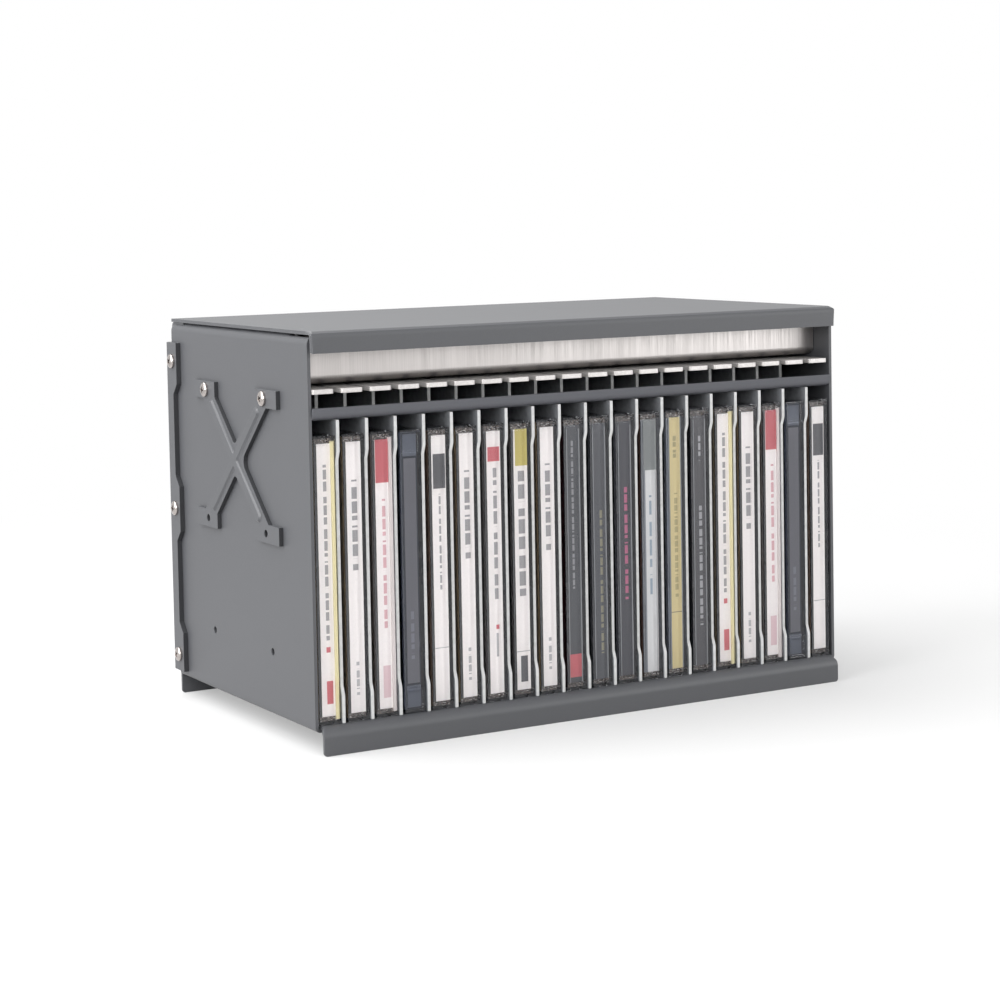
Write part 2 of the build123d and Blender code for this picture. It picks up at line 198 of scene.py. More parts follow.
class Graph:
    """The node graph of one material, or of the world."""

    def __init__(self, name: str, world: bool = False) -> None:
        """Start an empty graph with only its output.

        Args:
            name: the name of the material or world, which is made here.
            world: whether it is a world.
        """
        self.owner = (bpy.data.worlds if world else bpy.data.materials).new(name)
        self.owner.use_nodes = True
        self.tree = self.owner.node_tree
        self.tree.nodes.clear()
        self.output = self.tree.nodes.new("ShaderNodeOutputWorld" if world else "ShaderNodeOutputMaterial")

    def node(
        self,
        kind: str,
        settings: Optional[Mapping[str, Any]] = None,
        inputs: Optional[Mapping[Union[int, str], Value]] = None,
        output: Union[int, str] = 0,
    ) -> Signal:
        """Add a node.

        Args:
            kind: the node's type.
            settings: properties, which are set first.
            inputs: values or links for its sockets, by index or name.
            output: which of its outputs to return.

        Returns:
            That output.
        """
        node = self.tree.nodes.new(kind)
        for key, value in (settings or {}).items():
            setattr(node, key, value)
        for key, value in (inputs or {}).items():
            if isinstance(value, Signal):
                self.tree.links.new(value.socket, node.inputs[key])
            else:
                self._fill(node.inputs[key], value)
        return Signal(self, node.outputs[output])

    @staticmethod
    def _fill(socket: bpy.types.NodeSocket, value: Value) -> None:
        """Set a socket's own value.

        Args:
            socket: the socket, which has no link.
            value: its number or colour. A colour of three numbers gets full alpha.
        """
        if socket.type == "RGBA" and not isinstance(value, (int, float)):
            socket.default_value = (*value[:3], 1.0)
        else:
            socket.default_value = value

    def place(self) -> Signal:
        """Object coordinates, which are metres in the case's own frame."""
        return self.node("ShaderNodeTexCoord", output="Object")

    def axis(self, vector: Signal, name: str) -> Signal:
        """One of a vector's X, Y and Z."""
        return self.node("ShaderNodeSeparateXYZ", inputs={0: vector}, output=name)

    def noise(self, scale: Sequence[float], detail: float = 2.0, shift: Sequence[float] = (0, 0, 0)) -> Signal:
        """Noise in object space.

        Args:
            scale: how many features it has per metre along X, Y and Z.
            detail: how many finer layers it has.
            shift: how far its pattern is moved, in features.

        Returns:
            A number around 0.5.
        """
        mapped = self.node("ShaderNodeMapping", inputs={0: self.place(), 1: shift, 3: scale})
        return self.node("ShaderNodeTexNoise", inputs={"Vector": mapped, "Scale": 1.0, "Detail": detail})

    def blend(self, first: Value, second: Value, factor: Term) -> Signal:
        """Mix two colours, with factor 0 giving the first one."""
        return self.node("ShaderNodeMix", {"data_type": "RGBA"}, {0: factor, 6: first, 7: second}, 2)

    def bump(self, height: Signal, distance: float, strength: float = 1.0) -> Signal:
        """Turn a height from 0 to 1 into a normal, with the height's full size in metres."""
        inputs = {"Height": height, "Distance": distance, "Strength": strength}
        return self.node("ShaderNodeBump", inputs=inputs)

    def surface(self, **inputs: Value) -> Signal:
        """Add the main shader.

        Args:
            inputs: values or links by its sockets' names, with _ for a space.

        Returns:
            The shader.
        """
        named = {key.replace("_", " "): value for key, value in inputs.items()}
        if "Coat Weight" not in named:
            named["Coat Weight"] = 0.0
        return self.node("ShaderNodeBsdfPrincipled", inputs=named)

    def seen(self) -> Signal:
        """Tell rays that look from rays that light.

        Returns:
            1 for a ray from the camera, a gloss or a clear piece, and 0 for any other.
        """
        camera = self.node("ShaderNodeLightPath", output="Is Camera Ray")
        mirrored = self.node("ShaderNodeLightPath", output="Is Glossy Ray")
        through = self.node("ShaderNodeLightPath", output="Is Transmission Ray")
        return (camera + mirrored + through).clamped()

    def finish(self, shader: Signal) -> Union[bpy.types.Material, bpy.types.World]:
        """Link the shader to the output and return the material or world."""
        self.tree.links.new(shader.socket, self.output.inputs["Surface"])
        return self.owner


class Finish(Protocol):
    """Any finish of the case: its material is built when it is first used."""

    name: str

    def material(self) -> bpy.types.Material:
        """Build the material."""


class Grain(Enum):
    """Which way a brushed sheet was brushed, as the noise's stretch along X, Y and Z."""

    UPRIGHT = (1.0, 1.0, 0.012)
    LENGTHWISE = (1.0, 0.012, 1.0)


@dataclass(frozen=True)
class PowderCoat:
    """Satin powder coat on folded steel sheet."""

    name: str
    tint: Colour
    roughness: float = 0.46
    roughness_drift: float = 0.004
    grains: float = 2600
    grain_depth: float = 0.05
    clouds: float = 14
    cloud_depth: float = 0.01
    colour_range: float = 0.4
    peel_size: float = 1.3 * MM
    peel_height: float = 0.012 * MM

    def material(self) -> bpy.types.Material:
        """Build the paint: a faint grain in its colour, slow drifts of colour and gloss, and orange peel.

        Returns:
            The material. Grains and clouds are counted per metre.
        """
        graph = Graph(self.name)
        grain = graph.noise([self.grains] * 3, detail=1.0)
        cloud = graph.noise([self.clouds] * 3, detail=3.0, shift=(3, 1, 7))
        speckle = grain.spread(-self.grain_depth, self.grain_depth)
        drift = cloud.spread(-self.cloud_depth, self.cloud_depth)
        dark, light = shaded(self.tint, 1 - self.colour_range), shaded(self.tint, 1 + self.colour_range)
        peel = graph.noise([1 / self.peel_size] * 3, detail=1.0, shift=(5, 5, 5))
        glossy, dull = self.roughness - self.roughness_drift, self.roughness + self.roughness_drift
        return graph.finish(graph.surface(
            Base_Color=graph.blend(dark, light, speckle + drift + 0.5),
            Roughness=cloud.spread(glossy, dull),
            IOR=1.5,
            Normal=graph.bump(peel, self.peel_height),
        ))


@dataclass(frozen=True)
class BrushedSteel:
    """Stainless sheet with a brushed grain."""

    name: str
    tint: Colour
    grain: Grain
    roughness: float = 0.3
    lines: float = 2600
    broad_lines: float = 338
    contrast: float = 0.09
    gloss_contrast: float = 0.06
    scratch_depth: float = 0.004 * MM
    metal: float = 1.0

    def material(self) -> bpy.types.Material:
        """Build the steel: fine and broad scratches along the grain, in colour, gloss and height.

        Returns:
            The material. Its lines are counted per metre across the grain.
        """
        graph = Graph(self.name)
        stretch = self.grain.value
        fine = graph.noise([self.lines * part for part in stretch], detail=2.0)
        broad = graph.noise([self.broad_lines * part for part in stretch], detail=2.0, shift=(9, 2, 4))
        mark = (fine * 0.75 + broad * 0.25).ramp(0.35, 0.65)
        dark, light = shaded(self.tint, 1 - self.contrast), shaded(self.tint, 1 + self.contrast)
        dull, glossy = self.roughness + self.gloss_contrast, self.roughness - self.gloss_contrast
        return graph.finish(graph.surface(
            Base_Color=graph.blend(dark, light, mark),
            Metallic=self.metal,
            Roughness=mark.ramp(0, 1, dull, glossy),
            Normal=graph.bump(fine, self.scratch_depth, 0.6),
        ))


@dataclass(frozen=True)
class PlainMetal:
    """Turned, wound or rolled metal with a faint handling haze."""

    name: str
    tint: Colour
    roughness: float = 0.25
    metallic: float = 1.0
    haze_spots: float = 420
    haze_shade: float = 0.86

    def material(self) -> bpy.types.Material:
        """Build the metal: an uneven gloss and a slight clouding of its colour.

        Returns:
            The material. Its haze's spots are counted per metre.
        """
        graph = Graph(self.name)
        haze = graph.noise([self.haze_spots] * 3, detail=3.0)
        return graph.finish(graph.surface(
            Base_Color=graph.blend(shaded(self.tint, self.haze_shade), self.tint, haze.ramp(0.3, 0.65)),
            Metallic=self.metallic,
            Roughness=haze.spread(self.roughness + 0.08, self.roughness - 0.05),
        ))


@dataclass(frozen=True)
class ClearPlastic:
    """Moulded clear polystyrene: light passes straight through, and the skin mirrors the room."""

    name: str
    tint: Colour
    skin_tint: Colour = (0.95, 0.96, 1.0)
    gloss: float = 0.05
    scuffed: float = 0.14
    refraction: float = 1.59

    def material(self) -> bpy.types.Material:
        """Build the plastic: a see-through body under a Fresnel gloss with hairline scuffs.

        Returns:
            The material.
        """
        graph = Graph(self.name)
        scuff = graph.noise([900, 60, 900], detail=3.0)
        skin = graph.node("ShaderNodeBsdfGlossy", inputs={
            "Color": self.skin_tint,
            "Roughness": scuff.ramp(0.35, 0.7, self.gloss, self.gloss + self.scuffed),
        })
        body = graph.node("ShaderNodeBsdfTransparent", inputs={"Color": self.tint})
        mirror = graph.node("ShaderNodeFresnel", inputs={"IOR": self.refraction})
        return graph.finish(graph.node("ShaderNodeMixShader", inputs={0: mirror, 1: body, 2: skin}))


@dataclass(frozen=True)
class TrayPlastic:
    """Opaque polystyrene of a disc tray."""

    name: str
    tint: Colour
    roughness: float = 0.3
    ripple: float = 0.02 * MM
    flow_shade: float = 0.75

    def material(self) -> bpy.types.Material:
        """Build the plastic: flow marks in its gloss and a moulded ripple.

        Returns:
            The material.
        """
        graph = Graph(self.name)
        flow = graph.noise([160, 160, 60], detail=3.0)
        return graph.finish(graph.surface(
            Base_Color=graph.blend(shaded(self.tint, self.flow_shade), self.tint, flow.spread()),
            Roughness=flow.spread(self.roughness - 0.08, self.roughness + 0.1),
            Normal=graph.bump(flow, self.ripple, 0.5),
        ))


@dataclass(frozen=True)
class MouldedEnd:
    """The crowded ends of a tray and lid, with their lugs and teeth seen through clear plastic, and painted
    highlights over them.
    """

    name: str
    dark: Colour
    light: Colour
    painted_glint: Colour = (0.9, 0.88, 0.87)
    tooth: float = 0.9 * MM
    relief: float = 0.35 * MM

    def material(self) -> bpy.types.Material:
        """Build the ends: broken painted highlights over a dark body, with a deep bump.

        Returns:
            The material.
        """
        graph = Graph(self.name)
        lugs = graph.noise([1 / self.tooth, 300, 1.6 / self.tooth], detail=3.0, shift=(2, 8, 4))
        painted_glints = graph.noise([0.8 / self.tooth, 300, 3.2 / self.tooth], detail=2.0, shift=(7, 1, 3))
        body = graph.blend(self.dark, self.light, lugs.ramp(0.46, 0.64))
        return graph.finish(graph.surface(
            # painted highlights: near-white spots mixed into the colour stand for glints on the clear plastic
            Base_Color=graph.blend(body, self.painted_glint, painted_glints.ramp(0.6, 0.68)),
            Roughness=lugs.spread(0.12, 0.3),
            Normal=graph.bump(lugs, self.relief, 0.7),
        ))


@dataclass(frozen=True)
class Block:
    """A plain printed block on a spine card, as shares of its width and height from the lower left.

    Where words isn't 0, gaps break the block into short bars, that many to the card's height.
    """

    left: float
    right: float
    bottom: float
    top: float
    colour: Colour
    words: int = 0


@dataclass(frozen=True)
class PrintedCard:
    """Card stock with plain blocks printed on it, laid out on the piece's own UV map."""

    name: str
    ground: Colour
    blocks: tuple[Block, ...] = ()
    word_share: float = 0.82
    line_share: float = 0.86
    lines_per_word: float = 0.37
    fibres: float = 1500
    fibre_shade: float = 0.97
    fibre_depth: float = 0.006 * MM

    def material(self) -> bpy.types.Material:
        """Build the card: its ground, its blocks, a paper fibre and a slight sheen.

        Returns:
            The material.
        """
        graph = Graph(self.name)
        where = graph.node("ShaderNodeUVMap", {"uv_map": "card"})
        across, upward = graph.axis(where, "X"), graph.axis(where, "Y")
        fibre = graph.noise([self.fibres] * 3, detail=2.0)
        colour = graph.blend(shaded(self.ground, self.fibre_shade), self.ground, fibre.spread())
        for block in self.blocks:
            mask = across.between(block.left, block.right) * upward.between(block.bottom, block.top)
            if block.words:
                bars = (upward * block.words).fraction() < self.word_share
                lines = (upward * (block.words * self.lines_per_word)).fraction() < self.line_share
                mask = mask * bars * lines
            colour = graph.blend(colour, block.colour, mask)
        return graph.finish(graph.surface(
            Base_Color=colour,
            Roughness=fibre.spread(0.42, 0.55),
            Normal=graph.bump(fibre, self.fibre_depth, 0.4),
        ))


@dataclass(frozen=True)
class StudioPaper:
    """White paper sheet: it takes the object's shadow and shows nearly white to camera and gloss."""

    name: str = "studio_paper"
    tint: Colour = (0.515, 0.515, 0.515)
    lift: float = 0.35
    near: float = 0.22
    far: float = 0.75

    def material(self) -> bpy.types.Material:
        """Build the paper: plain diffuse for the light, partly lifted to white where it is seen.

        Returns:
            The material. The lift is whole from far away from the object, and least nearer than near.
        """
        graph = Graph(self.name)
        tooth = graph.noise([300] * 3, detail=2.0)
        colour = graph.blend(shaded(self.tint, 0.98), self.tint, tooth)
        plain = graph.node("ShaderNodeBsdfDiffuse", inputs={"Color": colour})
        white = graph.node("ShaderNodeEmission", inputs={"Color": PURE_WHITE, "Strength": 1.0})
        away = graph.node("ShaderNodeVectorMath", {"operation": "LENGTH"}, {0: graph.place()}, "Value")
        lifted = graph.seen() * away.ramp(self.near, self.far, self.lift, 1.0)
        return graph.finish(graph.node("ShaderNodeMixShader", inputs={0: lifted, 1: plain, 2: white}))


class Axis(Enum):
    """An axis of the case's frame, as its unit vector."""

    X = (1, 0, 0)
    Y = (0, 1, 0)
    Z = (0, 0, 1)


class Bench:
    """The moves that shape a piece: a primitive or a merged CAD copy, then edit mode, then modifiers."""

    same_point = 0.002 * MM
    same_plane = 0.6

    @staticmethod
    def clear() -> None:
        """Deselect everything and leave edit mode."""
        if bpy.context.object and bpy.context.object.mode != "OBJECT":
            bpy.ops.object.mode_set(mode="OBJECT")
        bpy.ops.object.select_all(action="DESELECT")

    @staticmethod
    def hold(piece: bpy.types.Object) -> None:
        """Make a piece the only selected and active one.

        Args:
            piece: the piece.
        """
        Bench.clear()
        piece.select_set(True)
        bpy.context.view_layer.objects.active = piece

    @staticmethod
    @contextmanager
    def editing(piece: bpy.types.Object, elements: str = "FACE") -> Iterator[None]:
        """Work on a piece in edit mode, with nothing selected at first.

        Args:
            piece: the piece to shape.
            elements: VERT, EDGE or FACE, what is selected.

        Yields:
            Nothing: the with block is what runs in edit mode.
        """
        Bench.hold(piece)
        bpy.ops.object.mode_set(mode="EDIT")
        bpy.ops.mesh.select_mode(type=elements)
        bpy.ops.mesh.select_all(action="DESELECT")
        yield
        bpy.ops.object.mode_set(mode="OBJECT")

    @staticmethod
    def pick_faces(piece: bpy.types.Object, test: FaceTest) -> int:
        """Select the faces of the piece in edit mode that pass a test on their middle and normal.

        Args:
            piece: the piece in edit mode.
            test: takes a face's middle and normal, and says whether it is picked.

        Returns:
            How many faces are picked.
        """
        mesh = bmesh.from_edit_mesh(piece.data)
        picked = 0
        for face in mesh.faces:
            chosen = test(face.calc_center_median(), face.normal)
            face.select_set(chosen)
            picked += chosen
        mesh.select_flush_mode()
        bmesh.update_edit_mesh(piece.data)
        return picked

    @staticmethod
    def slice(axis: Axis, levels: Iterable[float]) -> None:
        """Cut the faces of the piece in edit mode along planes, without parting it.

        Args:
            axis: the axis that the planes stand across.
            levels: where they stand on it.
        """
        for level in levels:
            bpy.ops.mesh.select_all(action="SELECT")
            bpy.ops.mesh.bisect(plane_co=[level * part for part in axis.value], plane_no=axis.value)

    @staticmethod
    def settle(piece: bpy.types.Object) -> None:
        """Put the piece's place, turn and scale into its mesh."""
        Bench.hold(piece)
        bpy.ops.object.transform_apply(location=True, rotation=True, scale=True)

    @staticmethod
    def brick(name: str, low: Sequence[float], high: Sequence[float]) -> bpy.types.Object:
        """Add a cuboid, as the start of a piece.

        Args:
            name: the piece's name.
            low: its lower corner.
            high: its upper corner.

        Returns:
            The piece.
        """
        Bench.clear()
        middle = [(a + b) / 2 for a, b in zip(low, high)]
        bpy.ops.mesh.primitive_cube_add(size=1, location=middle)
        piece = bpy.context.object
        piece.name = piece.data.name = name
        piece.scale = [b - a for a, b in zip(low, high)]
        Bench.settle(piece)
        return piece

    @staticmethod
    def disc(name: str, radius: float, height: float, sides: int) -> bpy.types.Object:
        """Add a cylinder that stands on the origin, as the start of a turned piece.

        Args:
            name: the piece's name.
            radius: its radius.
            height: its height.
            sides: how many sides it has.

        Returns:
            The piece.
        """
        Bench.clear()
        bpy.ops.mesh.primitive_cylinder_add(
            vertices=sides, radius=radius, depth=height, location=(0, 0, height / 2)
        )
        piece = bpy.context.object
        piece.name = piece.data.name = name
        Bench.settle(piece)
        return piece

    @staticmethod
    def copied_node(node: bpy.types.Object, name: str) -> bpy.types.Object:
        """Copy a CAD node's mesh, merge its loose triangles and clean its flat faces.

        Args:
            node: the CAD node's object, which stays as it is.
            name: the new piece's name.

        Returns:
            The new piece.
        """
        piece = bpy.data.objects.new(name, node.data.copy())
        piece.data.name = name
        piece.data.materials.clear()
        bpy.context.scene.collection.objects.link(piece)
        with Bench.editing(piece, "VERT"):
            bpy.ops.mesh.select_all(action="SELECT")
            bpy.ops.mesh.remove_doubles(threshold=Bench.same_point)
            bpy.ops.mesh.dissolve_limited(angle_limit=math.radians(Bench.same_plane))
        Bench.hold(piece)
        if piece.data.has_custom_normals:
            bpy.ops.mesh.customdata_custom_splitnormals_clear()
        return piece

    @staticmethod
    def modify(piece: bpy.types.Object, kind: str, **settings: Any) -> None:
        """Add a modifier and apply it.

        Args:
            piece: the piece.
            kind: the modifier's type.
            settings: its properties.
        """
        Bench.hold(piece)
        modifier = piece.modifiers.new(kind.lower(), kind)
        for key, value in settings.items():
            setattr(modifier, key, value)
        bpy.ops.object.modifier_apply(modifier=modifier.name)

    @staticmethod
    def soften(piece: bpy.types.Object, width: float, steps: int = 2, sharper_than: float = 35.0) -> None:
        """Round the piece's sharp edges, then shade it by angle.

        Args:
            piece: the piece.
            width: how wide the rounded edge is.
            steps: how many facets the rounded edge has.
            sharper_than: the least angle, in degrees, of an edge that is rounded.
        """
        Bench.modify(
            piece, "BEVEL", width=width, segments=steps, limit_method="ANGLE",
            angle_limit=math.radians(sharper_than), use_clamp_overlap=True, harden_normals=False,
        )
        Bench.shade(piece)

    @staticmethod
    def shade(piece: bpy.types.Object, angle: float = 32.0) -> None:
        """Shade the piece smooth, but for its sharp edges.

        Args:
            piece: the piece.
            angle: the least angle, in degrees, of an edge that stays sharp.
        """
        Bench.hold(piece)
        bpy.ops.object.shade_smooth_by_angle(angle=math.radians(angle))
        Bench.modify(piece, "WEIGHTED_NORMAL", weight=80, keep_sharp=True)

    @staticmethod
    def cut_with(piece: bpy.types.Object, cutter: bpy.types.Object) -> None:
        """Subtract the cutter from the piece, and remove the cutter."""
        Bench.modify(piece, "BOOLEAN", operation="DIFFERENCE", object=cutter, solver="EXACT")
        bpy.data.objects.remove(cutter)

    @staticmethod
    def copy_of(piece: bpy.types.Object, name: str, move: Matrix) -> bpy.types.Object:
        """Copy a piece with its own mesh, and put the copy's place into that mesh.

        Args:
            piece: the piece.
            name: the copy's name.
            move: where the copy goes.

        Returns:
            The copy.
        """
        twin = bpy.data.objects.new(name, piece.data.copy())
        twin.data.name = name
        twin.data.transform(move)
        bpy.context.scene.collection.objects.link(twin)
        return twin

    @staticmethod
    def dress(
        piece: bpy.types.Object,
        body: str,
        slot: str,
        materials: Sequence[bpy.types.Material],
        replaced: Sequence[str] = (),
    ) -> bpy.types.Object:
        """Give a finished piece its materials and its body, and hide the CAD nodes that it stands for.

        Args:
            piece: the finished piece.
            body: the CAD body that it rides on.
            slot: the record's material slot, which is not used.
            materials: its materials, in the order of its faces' slots.
            replaced: the CAD nodes that it stands for.

        Returns:
            The piece.
        """
        for material in materials:
            piece.data.materials.append(material)
        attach(piece, body)
        if replaced:
            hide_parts(*replaced)
        log.info("%s rides %s: %d faces", piece.name, body, len(piece.data.polygons))
        return piece


@dataclass
class Palette:
    """Every finish of the case, each built once."""

    paint: PowderCoat = PowderCoat("paint_grey", srgb(64, 65, 68))
    bar_paint: PowderCoat = PowderCoat("paint_bar", srgb(72, 73, 78), roughness=0.4)
    # painted shade: a darker paint for the front-facing edges of the wings, brackets and panels outside the
    # sides
    painted_shade_edge: PowderCoat = PowderCoat("paint_edge_painted_shade", srgb(34, 35, 38), roughness=0.6)
    cover: BrushedSteel = BrushedSteel("steel_cover", (0.43, 0.408, 0.398), Grain.UPRIGHT, 0.4, contrast=0.045)
    key: BrushedSteel = BrushedSteel("steel_key", (0.48, 0.462, 0.45), Grain.LENGTHWISE, 0.4, metal=0.5)
    # painted shade: the divider faces are darker than their edges because they sit in the shaded slots
    plate: PlainMetal = PlainMetal("plate_faces_painted_shade", (0.3, 0.31, 0.33), 0.42, 0.6)
    plate_edge: PlainMetal = PlainMetal("plate_edges", (0.44, 0.445, 0.44), 0.42, 0.15)
    nickel: PlainMetal = PlainMetal("screw_nickel", (0.47, 0.43, 0.41), 0.17)
    # painted shade: a dark material for the inside of the screws' cross recess
    recess: PlainMetal = PlainMetal("screw_recess_painted_shade", (0.11, 0.085, 0.075), 0.35)
    dark_screw: PlainMetal = PlainMetal("screw_black", (0.05, 0.05, 0.055), 0.4, 0.3)
    rod: PlainMetal = PlainMetal("rod_ground", (0.6, 0.6, 0.6), 0.24)
    wire: PlainMetal = PlainMetal("wire_oiled", (0.42, 0.42, 0.43), 0.3)
    built: dict[str, bpy.types.Material] = field(default_factory=dict)

    def get(self, finish: Finish) -> bpy.types.Material:
        """Build a finish's material the first time, and give the same one after that.

        Args:
            finish: the finish.

        Returns:
            Its material.
        """
        if finish.name not in self.built:
            self.built[finish.name] = finish.material()
        return self.built[finish.name]


@dataclass
class SheetWork:
    """The painted housing: each folded panel is its CAD solid with the sheet's edges eased."""

    frame: Mapping[str, Any]
    palette: Palette
    edge: float = 0.32 * MM
    panels: tuple[str, ...] = ("left_side_panel", "right_side_panel", "top_panel", "bottom_panel", "back_panel")
    brackets: tuple[str, ...] = ("left_link_bracket", "right_link_bracket")
    side_face: float = 139.75 * MM
    hood_half: float = 139.4 * MM
    hood_front: float = -79.0 * MM
    hood_corner: float = 3.0 * MM
    hood_corner_kept: float = 1.0 * MM
    hood_corner_turn: float = 1.5
    hood_wall: float = 1.5 * MM
    hood_gap: float = 0.3 * MM
    hood_height: float = 9.5 * MM
    lid_corner: float = 2.8 * MM
    lid_corner_steps: tuple[float, ...] = (0.12 * MM, 0.45 * MM, 1.0 * MM, 1.45 * MM, 2.1 * MM)
    lid_ease_length: float = 5.2 * MM
    lid_ease_shares: tuple[float, ...] = (0.35, 0.7, 1.0)
    arm_run: float = 32.5 * MM
    arm_rise: float = 30.0 * MM
    rib_height: float = 0.9 * MM
    rib_reach: float = 31.5 * MM
    rib_half: float = 2.35 * MM
    rib_stretch: float = 1.22

    def build(self) -> None:
        """Make the five panels, the two brackets and the stop bar."""
        paint = self.palette.get(self.palette.paint)
        shade_paint = self.palette.get(self.palette.painted_shade_edge)
        for node in self.panels + self.brackets:
            stretch = node in self.brackets
            self.paint_front_edge_shade(self.eased(node, [paint, shade_paint], "painted_sheet", self.edge, stretch=stretch))
        self.eased("key_stop_bar", [self.palette.get(self.palette.bar_paint)], "bar_paint", self.edge)

    def eased(
        self,
        node: str,
        materials: Sequence[bpy.types.Material],
        slot: str,
        width: float,
        body: str = CASE_BODY,
        stretch: bool = False,
    ) -> bpy.types.Object:
        """Make the piece that stands for one CAD node, with its sharp edges rounded.

        Args:
            node: the CAD node.
            materials: the piece's materials.
            slot: its material slot.
            width: how wide the rounded edges are.
            body: the body that it rides on.
            stretch: whether its pressed rib is drawn out along the arms.

        Returns:
            The finished piece.
        """
        piece = Bench.copied_node(self.frame["nodes"][node], node + "_eased")
        if stretch:
            self.stretch_rib(piece)
        if node == "top_panel":
            self.shape_hood(piece)
        Bench.soften(piece, width)
        return Bench.dress(piece, body, slot, materials, [node])

    def shape_hood(self, piece: bpy.types.Object) -> None:
        """Square up the front lip's ends in plan, and round the lid's corners above and behind them.

        Args:
            piece: the top panel.
        """
        lip_end = self.hood_front + self.hood_wall + self.hood_gap
        top = max(vertex.co.z for vertex in piece.data.vertices)
        with Bench.editing(piece):
            Bench.slice(Axis.Y, (lip_end + share * self.lid_ease_length for share in self.lid_ease_shares))
            Bench.slice(Axis.Z, (top - drop for drop in self.lid_corner_steps))
        start = top - self.hood_height + self.hood_corner_kept
        for vertex in piece.data.vertices:
            side = math.copysign(1.0, vertex.co.x)
            across, along = abs(vertex.co.x), vertex.co.y
            if along < lip_end + SLACK:
                across, along = self.squared_corner(across, along)
                across = min(across, self.rounded_reach(start - vertex.co.z, self.hood_corner_kept))
            near = max(0.0, 1 - max(0.0, along - lip_end) / self.lid_ease_length)
            reach = self.rounded_reach(vertex.co.z - top + self.lid_corner, self.lid_corner)
            across = min(across, self.hood_half - (self.hood_half - reach) * near * near)
            vertex.co.x, vertex.co.y = side * across, along

    def rounded_reach(self, past: float, radius: float) -> float:
        """How far the hood reaches to the side at a level in the rounding of its end.

        Args:
            past: how far the level is past the start of the rounding.
            radius: the rounding's radius.

        Returns:
            The greatest distance from the middle.
        """
        past = min(radius, max(0.0, past))
        return self.hood_half - radius + math.sqrt(radius * radius - past * past)

    def squared_corner(self, across: float, along: float) -> tuple[float, float]:
        """Move a point of the lip's rounded end to a tighter rounding.

        Args:
            across: the point's distance from the middle.
            along: its Y.

        Returns:
            Where the point goes, or where it is if it isn't on the rounded end.
        """
        from_x = across - (self.hood_half - self.hood_corner)
        from_y = along - (self.hood_front + self.hood_corner)
        if from_x <= 0 or from_y >= 0 or math.hypot(from_x, from_y) < self.hood_corner - 2 * SLACK:
            return across, along
        if along > self.hood_front + self.hood_wall - SLACK:
            return self.hood_half, along
        turn = self.hood_corner_turn * math.atan2(from_x, -from_y)
        kept = self.hood_corner_kept
        return (
            self.hood_half - kept + kept * math.sin(turn),
            self.hood_front + kept - kept * math.cos(turn),
        )

    def stretch_rib(self, piece: bpy.types.Object) -> None:
        """Draw out a link bracket's pressed rib to its full length and width, about the middle of the X.

        Args:
            piece: the bracket.
        """
        points = [vertex.co for vertex in piece.data.vertices]
        middle_y = (max(point.y for point in points) + min(point.y for point in points)) / 2
        middle_z = (max(point.z for point in points) + min(point.z for point in points)) / 2
        plate_face = max(abs(point.x) for point in points) - self.rib_height
        for vertex in piece.data.vertices:
            y, z = vertex.co.y - middle_y, vertex.co.z - middle_z
            raised = abs(vertex.co.x) > plate_face - SLACK
            if raised and math.hypot(y, z) < self.rib_reach and self.on_rib(y, z):
                vertex.co.y = middle_y + y * self.rib_stretch
                vertex.co.z = middle_z + z * self.rib_stretch

    def on_rib(self, y: float, z: float) -> bool:
        """Whether a point of a bracket's face, measured from its middle, is within an arm's rib.

        Args:
            y: how far back it is.
            z: how high it is.

        Returns:
            Whether it is nearer to an arm's middle line than half the rib's width.
        """
        rising = abs(y * self.arm_rise - z * self.arm_run)
        falling = abs(y * self.arm_rise + z * self.arm_run)
        return min(rising, falling) / math.hypot(self.arm_run, self.arm_rise) < self.rib_half

    def paint_front_edge_shade(self, piece: bpy.types.Object) -> None:
        """Give painted shade, a darker paint, to the edges outside the sides that face the front.

        Args:
            piece: a dressed panel or bracket.
        """
        for face in piece.data.polygons:
            outside = abs(face.center.x) > self.side_face
            # front-facing edges outside the sides get the darker paint as painted shade
            if outside and face.normal.y < -0.25 and abs(face.normal.x) < 0.5:
                face.material_index = 1


@dataclass
class KeyBank:
    """Cover, dividers, rod, springs and the twenty keys."""

    frame: Mapping[str, Any]
    palette: Palette
    sheet_work: SheetWork
    key_count: int = 20
    key_edge: float = 0.4 * MM
    cover_edge: float = 0.2 * MM
    plate_edge: float = 0.2 * MM

    def build(self) -> None:
        """Make every piece of the mechanism."""
        palette = self.palette
        self.sheet_work.eased("mechanism_cover", [palette.get(palette.cover)], "cover_steel", self.cover_edge)
        self.dividers()
        for number in range(1, self.key_count + 1):
            name = f"key_{number:02d}"
            self.sheet_work.eased(name, [palette.get(palette.key)], "key_steel", self.key_edge, name)
        finishes = {
            "pivot_rod": palette.rod,
            "return_springs": palette.wire,
            "top_panel_screws": palette.dark_screw,
        }
        for node, finish in finishes.items():
            self.frame["nodes"][node].data.materials.clear()
            self.frame["nodes"][node].data.materials.append(palette.get(finish))

    def dividers(self) -> bpy.types.Object:
        """Make the divider plates, whose faces are painted darker than their edges as shade in the slots.

        Returns:
            The nineteen plates, as one piece.
        """
        piece = Bench.copied_node(self.frame["nodes"]["dividers"], "dividers_eased")
        Bench.soften(piece, self.plate_edge)
        for face in piece.data.polygons:
            # faces that look to the sides take the darker material, as painted shade
            face.material_index = 0 if abs(face.normal.x) > 0.8 else 1
        materials = [self.palette.get(self.palette.plate), self.palette.get(self.palette.plate_edge)]
        return Bench.dress(piece, CASE_BODY, "divider_metal", materials, ["dividers"])


